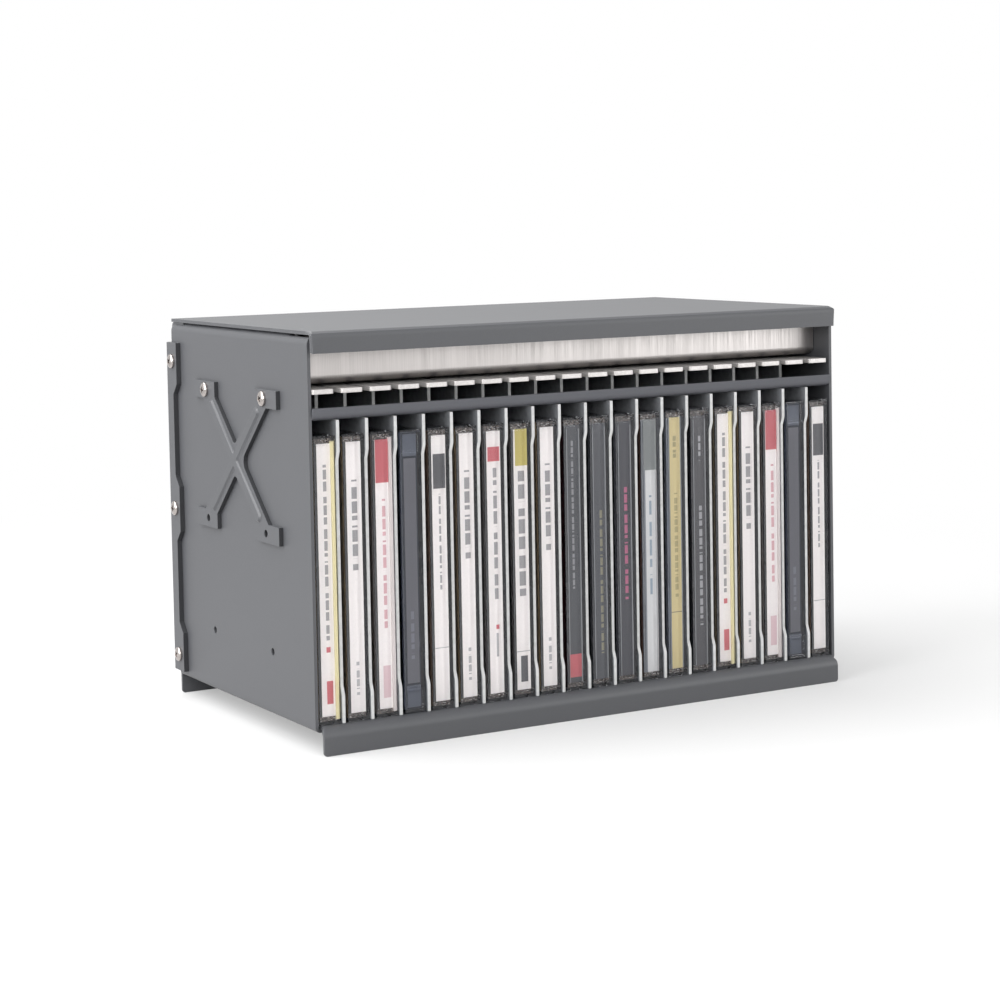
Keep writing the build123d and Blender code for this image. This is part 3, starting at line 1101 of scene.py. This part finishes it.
@dataclass
class PanScrews:
    """Nickel pan-head screws with a cross recess: four on the brackets and three on each wing.

    The CAD screws are told apart by the cell of the side's plane that their points lie in, and points
    closer than apart belong to one screw. Each cross is turned by next_turn radians from the one before.
    """

    frame: Mapping[str, Any]
    palette: Palette
    head: float = 6.8 * MM
    rim: float = 0.9 * MM
    dome: float = 1.0 * MM
    recess_span: float = 3.9 * MM
    recess_width: float = 1.0 * MM
    recess_depth: float = 1.3 * MM
    recess_taper: tuple[float, float] = (0.45, 0.6)
    recess_shadow: float = 0.9 * MM
    crown_share: float = 0.25
    rounding: float = 0.12 * MM
    sides: int = 40
    rings: int = 5
    cell: float = 12 * MM
    apart: float = 16 * MM
    first_turn: float = 0.5
    next_turn: float = 0.9

    def build(self) -> None:
        """Model one screw and set a copy on each of the CAD screws' seats."""
        pattern = self.pattern()
        materials = [self.palette.get(self.palette.nickel), self.palette.get(self.palette.recess)]
        for node in ("bracket_screws", "back_panel_screws"):
            seats = self.seats(node)
            for number, seat in enumerate(seats, 1):
                piece = Bench.copy_of(pattern, f"{node}_{number:02d}", seat)
                Bench.dress(piece, CASE_BODY, "screw_steel", materials, [node] if number == 1 else [])
        bpy.data.objects.remove(pattern)

    def pattern(self) -> bpy.types.Object:
        """Model the screw's head: a rolled rim, a dome in five rings and a tapered cross.

        Returns:
            The head, seated on the origin with its crown up.
        """
        head = Bench.disc("screw_pattern", self.head / 2, self.rim, self.sides)
        angles = [math.radians(90 * ring / (self.rings + 1)) for ring in range(self.rings + 1)]
        with Bench.editing(head):
            Bench.pick_faces(head, lambda middle, normal: normal.z > FACING)
            width = 1.0
            for before, angle in zip(angles, angles[1:]):
                rise = self.dome * (math.sin(angle) - math.sin(before))
                wanted = self.crown_share + (1 - self.crown_share) * math.cos(angle)
                bpy.ops.mesh.extrude_region_move(TRANSFORM_OT_translate={"value": (0, 0, rise)})
                bpy.ops.transform.resize(value=(wanted / width, wanted / width, 1))
                width = wanted
        for turn in (0, 90):
            Bench.cut_with(head, self.cross_arm(turn))
        Bench.soften(head, self.rounding, sharper_than=40)
        shadow = self.rim + self.dome - self.recess_shadow
        for face in head.data.polygons:
            inside = math.hypot(face.center.x, face.center.y) < self.recess_span / 2 + SLACK
            # the recess's walls and its deeper faces take the dark material as painted shade
            if inside and (face.normal.z < 0.5 or face.center.z < shadow):
                face.material_index = 1
        return head

    def cross_arm(self, turn: float) -> bpy.types.Object:
        """One tapered arm of the cross recess, as a cutter.

        Args:
            turn: how far it is turned about the screw's axis, in degrees.

        Returns:
            The cutter.
        """
        top = self.rim + self.dome
        half, width = self.recess_span / 2, self.recess_width / 2
        arm = Bench.brick("recess_arm", (-half, -width, top - self.recess_depth), (half, width, top + MM))
        with Bench.editing(arm):
            Bench.pick_faces(arm, lambda middle, normal: normal.z < -FACING)
            bpy.ops.transform.resize(value=(*self.recess_taper, 1))
        arm.data.transform(Matrix.Rotation(math.radians(turn), 4, "Z"))
        return arm

    def seats(self, node: str) -> list[Matrix]:
        """Find each CAD screw's seat from its own solid.

        Args:
            node: the CAD node with the screws.

        Returns:
            One placement for each screw: its seat's place and its turn outwards, with its cross askew.
        """
        found: dict[tuple[int, int, int], list[Vector]] = {}
        for vertex in self.frame["nodes"][node].data.vertices:
            side = 1 if vertex.co.x > 0 else -1
            key = (side, round(vertex.co.y / self.cell), round(vertex.co.z / self.cell))
            found.setdefault(key, []).append(vertex.co)
        seats = []
        for number, (side, points) in enumerate(self.merged(found)):
            out = max(side * point.x for point in points)
            middle_y = (max(p.y for p in points) + min(p.y for p in points)) / 2
            middle_z = (max(p.z for p in points) + min(p.z for p in points)) / 2
            seat = Vector((side * (out - self.rim - self.dome), middle_y, middle_z))
            outwards = Matrix.Rotation(side * math.pi / 2, 4, "Y")
            askew = Matrix.Rotation(self.first_turn + self.next_turn * number, 4, "Z")
            seats.append(Matrix.Translation(seat) @ outwards @ askew)
        return seats

    def merged(
        self, found: Mapping[tuple[int, int, int], Sequence[Vector]]
    ) -> list[tuple[int, list[Vector]]]:
        """Join neighbouring cells of points, so that each screw is one group.

        Args:
            found: points by side and by cell of the side's plane.

        Returns:
            Each screw's side, -1 or 1, and its points.
        """
        groups: list[tuple[int, list[Vector]]] = []
        for (side, _, _), points in sorted(found.items()):
            near = None
            for group in groups:
                if group[0] == side and (group[1][0] - points[0]).length < self.apart:
                    near = group
            if near is None:
                groups.append((side, list(points)))
            else:
                near[1].extend(points)
        return groups


class CaseKind(Enum):
    """How a jewel case is built."""

    STANDARD = "standard"
    CAPPED = "capped"


@dataclass(frozen=True)
class SpineDesign:
    """What shows of one jewel case in its slot."""

    name: str
    card: PrintedCard
    side: Colour
    line: Colour
    tray: Colour = srgb(52, 53, 56)
    end_dark: Colour = srgb(42, 36, 34)
    end_light: Colour = srgb(118, 104, 96)
    strip: Optional[Colour] = None
    kind: CaseKind = CaseKind.STANDARD


WHITE = srgb(252, 247, 245)
RED = srgb(205, 104, 112)
SOFT_GREY = srgb(178, 176, 178)
INK = srgb(88, 88, 92)
MARK = srgb(158, 156, 158)
CREAM = srgb(240, 230, 182)
YELLOW = srgb(202, 188, 104)
SAND = srgb(222, 207, 156)
CHARCOAL = srgb(80, 82, 87)
TAUPE = srgb(140, 126, 116)
BLACK = srgb(26, 26, 30)
INKY = srgb(54, 56, 64)
HAZE = srgb(128, 132, 140)
PALE = srgb(172, 172, 176)
# painted highlights: pale lines at both edges of dark cards stand for glints on the clear shell's edges
PAINTED_SHELL_GLINTS = (Block(0.0, 0.07, 0.0, 0.985, srgb(146, 148, 152)), Block(0.92, 0.99, 0.0, 0.985, srgb(146, 148, 152)))


class SpineLibrary:
    """The spine cards of the row: plain grounds with blocks and short bars of colour."""

    @staticmethod
    def row() -> list[SpineDesign]:
        """Give the twenty designs from left to right.

        Returns:
            One design for each slot.
        """
        song = SpineDesign(
            "song", PrintedCard("card_song", WHITE, (
                Block(0.4, 0.62, 0.28, 0.94, MARK, 23), Block(0.38, 0.66, 0.235, 0.255, RED),
                Block(0.36, 0.78, 0.045, 0.13, RED))), TAUPE, srgb(176, 164, 140), strip=CREAM)
        organ = SpineDesign(
            "organ", PrintedCard("card_organ", WHITE, (
                Block(0.34, 0.7, 0.52, 0.86, MARK, 19), Block(0.42, 0.62, 0.06, 0.19, SOFT_GREY, 31))),
            srgb(150, 134, 112), srgb(206, 184, 150))
        opera = SpineDesign(
            "opera", PrintedCard("card_opera", WHITE, (
                Block(0.03, 0.95, 0.84, 1.0, RED), Block(0.44, 0.66, 0.3, 0.78, srgb(216, 172, 178), 21),
                Block(0.3, 0.8, 0.04, 0.16, srgb(226, 200, 204)))), TAUPE, srgb(196, 190, 186),
            strip=srgb(226, 218, 216))
        capped = SpineDesign(
            "capped", PrintedCard("card_capped", srgb(150, 146, 146), (
                Block(0.38, 0.6, 0.18, 0.36, srgb(176, 174, 178), 25), Block(0.0, 0.08, 0.09, 0.91, INKY),
                Block(0.92, 1.0, 0.09, 0.91, INKY), Block(0.0, 1.0, 0.0, 0.092, INKY),
                Block(0.0, 1.0, 0.908, 1.0, INKY), Block(0.02, 0.98, 0.004, 0.084, HAZE),
                Block(0.02, 0.98, 0.916, 0.996, HAZE))), srgb(40, 42, 50), srgb(170, 176, 190),
            tray=srgb(92, 96, 106), kind=CaseKind.CAPPED)
        ballad = SpineDesign(
            "ballad", PrintedCard("card_ballad", WHITE, (
                Block(0.1, 0.96, 0.8, 0.93, INK), Block(0.46, 0.6, 0.42, 0.78, MARK, 27),
                Block(0.02, 0.98, 0.199, 0.202, SOFT_GREY))), srgb(140, 112, 94), srgb(180, 156, 140))
        waltz = SpineDesign(
            "waltz", PrintedCard("card_waltz", WHITE, (
                Block(0.08, 0.94, 0.885, 0.94, RED), Block(0.44, 0.7, 0.36, 0.86, MARK, 17),
                Block(0.5, 0.72, 0.245, 0.262, RED), Block(0.5, 0.66, 0.14, 0.23, SOFT_GREY))),
            srgb(122, 116, 112), srgb(186, 182, 180))
        march = SpineDesign(
            "march", PrintedCard("card_march", WHITE, (
                Block(0.12, 1.0, 0.86, 1.0, YELLOW), Block(0.3, 0.76, 0.34, 0.84, MARK, 15),
                Block(0.3, 0.8, 0.03, 0.13, INK), Block(0.02, 0.98, 0.146, 0.149, SOFT_GREY))),
            srgb(70, 66, 62), srgb(140, 136, 134))
        ember = SpineDesign(
            "ember", PrintedCard("card_ember", CHARCOAL, (
                *PAINTED_SHELL_GLINTS, Block(0.34, 0.5, 0.36, 0.94, srgb(150, 150, 154), 37),
                Block(0.04, 0.9, 0.02, 0.11, RED))),
            srgb(74, 16, 26), srgb(60, 18, 26), tray=srgb(64, 66, 70))
        coast = SpineDesign(
            "coast", PrintedCard("card_coast", srgb(82, 84, 90), (
                *PAINTED_SHELL_GLINTS, Block(0.48, 0.68, 0.1, 0.66, srgb(142, 138, 116), 27))), BLACK, srgb(120, 122, 128),
            tray=srgb(44, 46, 52))
        night = SpineDesign(
            "night", PrintedCard("card_night", srgb(68, 68, 76), (
                *PAINTED_SHELL_GLINTS, Block(0.42, 0.66, 0.3, 0.76, srgb(190, 100, 136), 25))), BLACK, srgb(160, 162, 170),
            tray=srgb(56, 58, 66))
        mist = SpineDesign(
            "mist", PrintedCard("card_mist", srgb(226, 226, 226), (
                Block(0.0, 1.0, 0.8, 1.0, srgb(134, 138, 138)), Block(0.0, 0.12, 0.0, 0.8, HAZE),
                Block(0.86, 1.0, 0.0, 0.8, SOFT_GREY), Block(0.4, 0.58, 0.3, 0.7, srgb(150, 164, 178), 13))),
            srgb(92, 58, 46), srgb(140, 108, 96), tray=srgb(120, 124, 132))
        dune = SpineDesign(
            "dune", PrintedCard("card_dune", SAND, (
                Block(0.36, 0.6, 0.84, 0.93, srgb(170, 160, 122), 43), Block(0.04, 0.96, 0.224, 0.227, TAUPE),
                Block(0.42, 0.66, 0.28, 0.7, srgb(178, 166, 122), 35), Block(0.0, 0.1, 0.0, 1.0, HAZE),
                Block(0.91, 1.0, 0.0, 1.0, HAZE))), srgb(60, 62, 70), srgb(150, 156, 168),
            tray=srgb(104, 112, 126))
        dusk = SpineDesign(
            "dusk", PrintedCard("card_dusk", srgb(80, 79, 83), (
                *PAINTED_SHELL_GLINTS, Block(0.42, 0.66, 0.16, 0.64, PALE, 29), Block(0.42, 0.6, 0.82, 0.92, PALE, 29))),
            BLACK, srgb(70, 70, 76), tray=srgb(58, 58, 62))
        return [
            song, organ, opera, capped, ballad, organ, waltz, march, organ, ember,
            coast, night, mist, dune, dusk, song, organ, opera, capped, ballad,
        ]


@dataclass
class JewelCases:
    """The twenty jewel cases, each with a clear shell, a tray, a printed card and its lid's strip."""

    frame: Mapping[str, Any]
    palette: Palette
    width: float = 10.4 * MM
    depth: float = 142.0 * MM
    height: float = 125.0 * MM
    wall: float = 1.15 * MM
    lid: float = 3.4 * MM
    seam: float = 0.4 * MM
    seam_depth: float = 0.3 * MM
    shell_rounding: float = 0.25 * MM
    step: float = 0.8 * MM
    step_height: float = 4.0 * MM
    card_left: float = 2.05 * MM
    card_right: float = 1.25 * MM
    card_low: float = 3.4 * MM
    card_high: float = 3.5 * MM
    card_rise: float = 0.45 * MM
    tray_gap: float = 0.1 * MM
    tray_setback: float = 0.5 * MM
    tray_back: float = 1.4 * MM
    fold_front: float = 2.4 * MM
    fold_back: float = 3.7 * MM
    strip_left: float = 1.9 * MM
    strip_right: float = 0.35 * MM
    strip_front: float = 0.55 * MM
    strip_back: float = 9.0 * MM
    strip_low: float = 1.9 * MM
    strip_high: float = 2.6 * MM
    strip_rounding: float = 0.12 * MM
    cap_height: float = 11.2 * MM
    cap_rise: float = 0.9 * MM
    cap_rim: float = 1.3 * MM
    cap_slope: float = 0.4 * MM
    cap_hollow: float = 0.7 * MM
    cap_rounding: float = 0.6 * MM
    capped_card_end: float = 1.6 * MM
    shell: ClearPlastic = ClearPlastic("case_clear", (0.99, 0.99, 0.99))
    smoke: ClearPlastic = ClearPlastic("case_smoke", (0.7, 0.72, 0.77), gloss=0.03)

    def build(self) -> None:
        """Model each kind once and fill the slots with copies."""
        shells = {CaseKind.STANDARD: self.standard_shell(), CaseKind.CAPPED: self.capped_shell()}
        inserts = {kind: self.insert(kind) for kind in CaseKind}
        strip = self.lid_strip()
        for number, design in enumerate(SpineLibrary.row(), 1):
            node = f"jewel_case_{number:02d}"
            low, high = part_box(node)
            move = Matrix.Translation(((low.x + high.x) / 2, low.y, low.z))
            shell = Bench.copy_of(shells[design.kind], node + "_shell", move)
            clear = self.smoke if design.kind is CaseKind.CAPPED else self.shell
            slot = self.slot_of(node)
            Bench.dress(shell, node, slot, [self.palette.get(clear)], [node])
            insert = Bench.copy_of(inserts[design.kind], node + "_card", move)
            tray = TrayPlastic("tray_" + design.name, design.tray)
            side = PrintedCard("side_" + design.name, design.side)
            line = PrintedCard("line_" + design.name, design.line)
            ends = MouldedEnd("ends_" + design.name, design.end_dark, design.end_light)
            finishes = (tray, design.card, side, line, ends)
            Bench.dress(insert, node, slot, [self.palette.get(finish) for finish in finishes])
            if design.strip is not None:
                band = Bench.copy_of(strip, node + "_strip", move)
                paper = PrintedCard("strip_" + design.name, design.strip)
                Bench.dress(band, node, slot, [self.palette.get(paper)])
        for pattern in (*shells.values(), *inserts.values(), strip):
            bpy.data.objects.remove(pattern)

    def slot_of(self, node: str) -> str:
        """Look up the material slot that the record gives a jewel case.

        Args:
            node: its CAD node.

        Returns:
            The slot's name.
        """
        for part in self.frame["record"]["subparts"]:
            if part["node"] == node:
                return part["material_slot"]
        return "case_white"

    def standard_shell(self) -> bpy.types.Object:
        """Model the clear shell: the lid's seam runs round it, and the base is notched by the hinge.

        Returns:
            The shell, with its front lower edge's middle on the origin.
        """
        half = self.width / 2
        shell = Bench.brick("shell_standard", (-half, 0, 0), (half, self.depth, self.height))
        seam_x = half - self.lid
        upper_step = self.height - self.step_height
        with Bench.editing(shell):
            Bench.slice(Axis.X, (seam_x - self.seam / 2, seam_x + self.seam / 2))
            Bench.slice(Axis.Z, (self.step_height, upper_step))
            for facing in (Vector((0, -1, 0)), Vector((0, 1, 0)), Vector((0, 0, 1)), Vector((0, 0, -1))):
                self.sink(
                    shell,
                    lambda middle, normal: abs(middle.x - seam_x) < self.seam and normal.dot(facing) > FACING,
                    facing * -self.seam_depth,
                )
            for start in (0.0, upper_step):
                self.sink(
                    shell,
                    lambda middle, normal: normal.y < -FACING and middle.x < seam_x - self.seam
                    and start < middle.z < start + self.step_height,
                    (0, self.step, 0),
                )
        Bench.soften(shell, self.shell_rounding)
        return shell

    @staticmethod
    def sink(piece: bpy.types.Object, test: FaceTest, move: Sequence[float]) -> None:
        """Extrude the picked faces by a small move, as a step or a groove."""
        if Bench.pick_faces(piece, test):
            bpy.ops.mesh.extrude_region_move(TRANSFORM_OT_translate={"value": tuple(move)})

    def capped_shell(self) -> bpy.types.Object:
        """Model the shell with a rounded cap at each end of its spine and a recessed spine between.

        Returns:
            The shell, with its front lower edge's middle on the origin.
        """
        half = self.width / 2
        shell = Bench.brick("shell_capped", (-half, 0, 0), (half, self.depth, self.height))
        low, high = self.cap_height, self.height - self.cap_height
        with Bench.editing(shell):
            Bench.slice(Axis.Z, (low, high))
            self.sink(
                shell,
                lambda middle, normal: normal.y < -FACING and low < middle.z < high,
                (0, self.cap_rise, 0),
            )
            for end in (low / 2, (high + self.height) / 2):
                Bench.pick_faces(
                    shell, lambda middle, normal: normal.y < -FACING and abs(middle.z - end) < MM
                )
                bpy.ops.mesh.inset(thickness=self.cap_rim, depth=0.0)
                bpy.ops.mesh.inset(thickness=self.cap_slope, depth=-self.cap_hollow)
        Bench.soften(shell, self.cap_rounding, 3)
        return shell

    def insert(self, kind: CaseKind) -> bpy.types.Object:
        """Model what the shell holds: the tray, the spine card before it and the inlay on its left.

        Args:
            kind: how the jewel case is built.

        Returns:
            The insert. Its faces' slots are tray, spine card, inlay, the inlay's fold and the ends.
        """
        half = self.width / 2
        left, right = -half + self.card_left, half - self.card_right
        standard = kind is CaseKind.STANDARD
        bottom = self.card_low if standard else self.capped_card_end
        top = self.height - (self.card_high if standard else self.capped_card_end)
        front = (self.wall if standard else self.wall + self.cap_rise) + self.tray_setback
        inset = self.wall + self.tray_gap
        tray = Bench.brick(
            "insert_" + kind.value,
            (-half + self.wall, front, inset),
            (half - self.wall, self.depth - self.tray_back, self.height - inset),
        )

        def on_card(middle: Vector, normal: Vector) -> bool:
            """Whether a face that looks forward lies where the spine card is."""
            return normal.y < -FACING and left < middle.x < right and bottom < middle.z < top

        with Bench.editing(tray):
            Bench.slice(Axis.X, (left, right))
            Bench.slice(Axis.Z, (bottom, top))
            Bench.slice(Axis.Y, (self.fold_front, self.fold_back))
            self.sink(tray, on_card, (0, -self.card_rise, 0))
            bpy.ops.mesh.select_all(action="SELECT")
            bpy.ops.mesh.normals_make_consistent(inside=False)
        for face in tray.data.polygons:
            middle, normal = face.center, face.normal
            if on_card(middle, normal) and middle.y < front - self.card_rise / 2:
                face.material_index = 1
            elif normal.x < -FACING and middle.y > self.fold_back:
                face.material_index = 2
            elif normal.x < -FACING and middle.y > self.fold_front:
                face.material_index = 3
            elif standard and not bottom < middle.z < top:
                face.material_index = 4
        self.map_card(tray, (left, bottom), (right, top))
        return tray

    @staticmethod
    def map_card(piece: bpy.types.Object, low: tuple[float, float], high: tuple[float, float]) -> None:
        """Lay the card's UV map over the piece as seen from the front.

        Args:
            piece: the piece.
            low: X and Z of the card's lower left corner.
            high: X and Z of its upper right corner.
        """
        layer = piece.data.uv_layers.get("card") or piece.data.uv_layers.new(name="card")
        for loop in piece.data.loops:
            point = piece.data.vertices[loop.vertex_index].co
            layer.data[loop.index].uv = (
                (point.x - low[0]) / (high[0] - low[0]), (point.z - low[1]) / (high[1] - low[1])
            )

    def lid_strip(self) -> bpy.types.Object:
        """Model the paper edge that shows through the lid of some cases.

        Returns:
            The strip, in the jewel case's own place.
        """
        half = self.width / 2
        right = half - self.strip_right
        strip = Bench.brick(
            "lid_strip",
            (half - self.strip_left, self.strip_front, self.strip_low),
            (right, self.strip_back, self.height - self.strip_high),
        )
        Bench.soften(strip, self.strip_rounding)
        self.map_card(strip, (half - self.card_right, 0), (right, self.height))
        return strip


@dataclass(frozen=True)
class Lamp:
    """A square soft lamp: its place, the point that it faces, its sides' length and its power in watts."""

    name: str
    place: Point
    target: Point
    size: float
    power: float

    def hang(self) -> bpy.types.Object:
        """Add the lamp to the scene.

        Returns:
            The lamp.
        """
        light = bpy.data.lights.new(self.name, "AREA")
        light.shape = "SQUARE"
        light.size = self.size
        light.energy = self.power
        lamp = bpy.data.objects.new(self.name, light)
        lamp.location = self.place
        aim = Vector(self.target) - Vector(self.place)
        lamp.rotation_euler = aim.to_track_quat("-Z", "Y").to_euler()
        bpy.context.scene.collection.objects.link(lamp)
        return lamp


@dataclass
class Studio:
    """Floor, lamps and the camera of the photograph."""

    lamps: tuple[Lamp, ...] = (
        Lamp("window_left", (-1.15, 0.0, 0.7), (0, 0, 0.12), 1.3, 29.0),
        Lamp("back_top", (-0.3, 0.6, 1.5), (0, 0, 0.1), 1.2, 24.0),
        Lamp("front_fill", (1.2, -1.35, 0.5), (0, 0, 0.1), 1.0, 10.0),
        Lamp("front_left", (-0.75, -1.4, 0.75), (0, 0, 0.1), 0.9, 12.0),
    )
    place: Point = (-0.5649, -0.984, 0.2383)
    azimuth: float = 29.781
    elevation: float = 3.488
    roll: float = -1.058
    focal: float = 2.3568
    sensor: float = 36.0
    shift: tuple[float, float] = (0.0, -0.16)
    clip: tuple[float, float] = (0.01, 50.0)
    floor_size: float = 12.0
    world_strength: float = 0.93

    def build(self) -> None:
        """Make the floor, the light and the camera."""
        self.floor()
        self.world()
        for lamp in self.lamps:
            lamp.hang()
        self.camera()

    def floor(self) -> None:
        """Lay a wide flat sheet of white paper on the table."""
        Bench.clear()
        bpy.ops.mesh.primitive_plane_add(size=self.floor_size, location=(0, 0, 0))
        sheet = bpy.context.object
        sheet.name = sheet.data.name = "studio_floor"
        with Bench.editing(sheet, "EDGE"):
            bpy.ops.mesh.select_all(action="SELECT")
            bpy.ops.mesh.subdivide(number_cuts=3)
        sheet.data.materials.append(StudioPaper().material())

    def world(self) -> None:
        """Light the room evenly, and show it as plain white to the camera and to gloss."""
        graph = Graph("studio", world=True)
        bpy.context.scene.world = graph.owner
        plain, white = (
            graph.node("ShaderNodeBackground", inputs={"Color": PURE_WHITE, "Strength": strength})
            for strength in (self.world_strength, 1.0)
        )
        graph.finish(graph.node("ShaderNodeMixShader", inputs={0: graph.seen(), 1: plain, 2: white}))

    def camera(self) -> None:
        """Set the camera where the photograph was taken from.

        Its azimuth, elevation and roll are in degrees, and its focal length in widths of the picture.
        """
        turn, tilt, roll = (math.radians(value) for value in (self.azimuth, self.elevation, self.roll))
        forward = Vector((math.sin(turn) * math.cos(tilt), math.cos(turn) * math.cos(tilt), -math.sin(tilt)))
        level = Vector((math.cos(turn), -math.sin(turn), 0))
        upright = level.cross(forward)
        right = math.cos(roll) * level + math.sin(roll) * upright
        up = -math.sin(roll) * level + math.cos(roll) * upright
        basis = Matrix((right, up, -forward)).transposed().to_4x4()
        data = bpy.data.cameras.new("photo_camera")
        data.sensor_width = self.sensor
        data.sensor_fit = "HORIZONTAL"
        data.lens = self.focal * self.sensor
        data.shift_x, data.shift_y = self.shift
        data.clip_start, data.clip_end = self.clip
        camera = bpy.data.objects.new("photo_camera", data)
        camera.matrix_world = Matrix.Translation(self.place) @ basis
        bpy.context.scene.collection.objects.link(camera)
        bpy.context.scene.camera = camera


def main() -> None:
    """Load the frame and build every piece."""
    logging.basicConfig(level=logging.INFO, format="%(name)s: %(message)s")
    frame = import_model()
    bpy.context.scene.view_settings.view_transform = "Standard"
    Studio().build()
    palette = Palette()
    sheet_work = SheetWork(frame, palette)
    sheet_work.build()
    KeyBank(frame, palette, sheet_work).build()
    PanScrews(frame, palette).build()
    JewelCases(frame, palette).build()
    log.info("all pieces are in place")


if __name__ == "__main__":
    main()
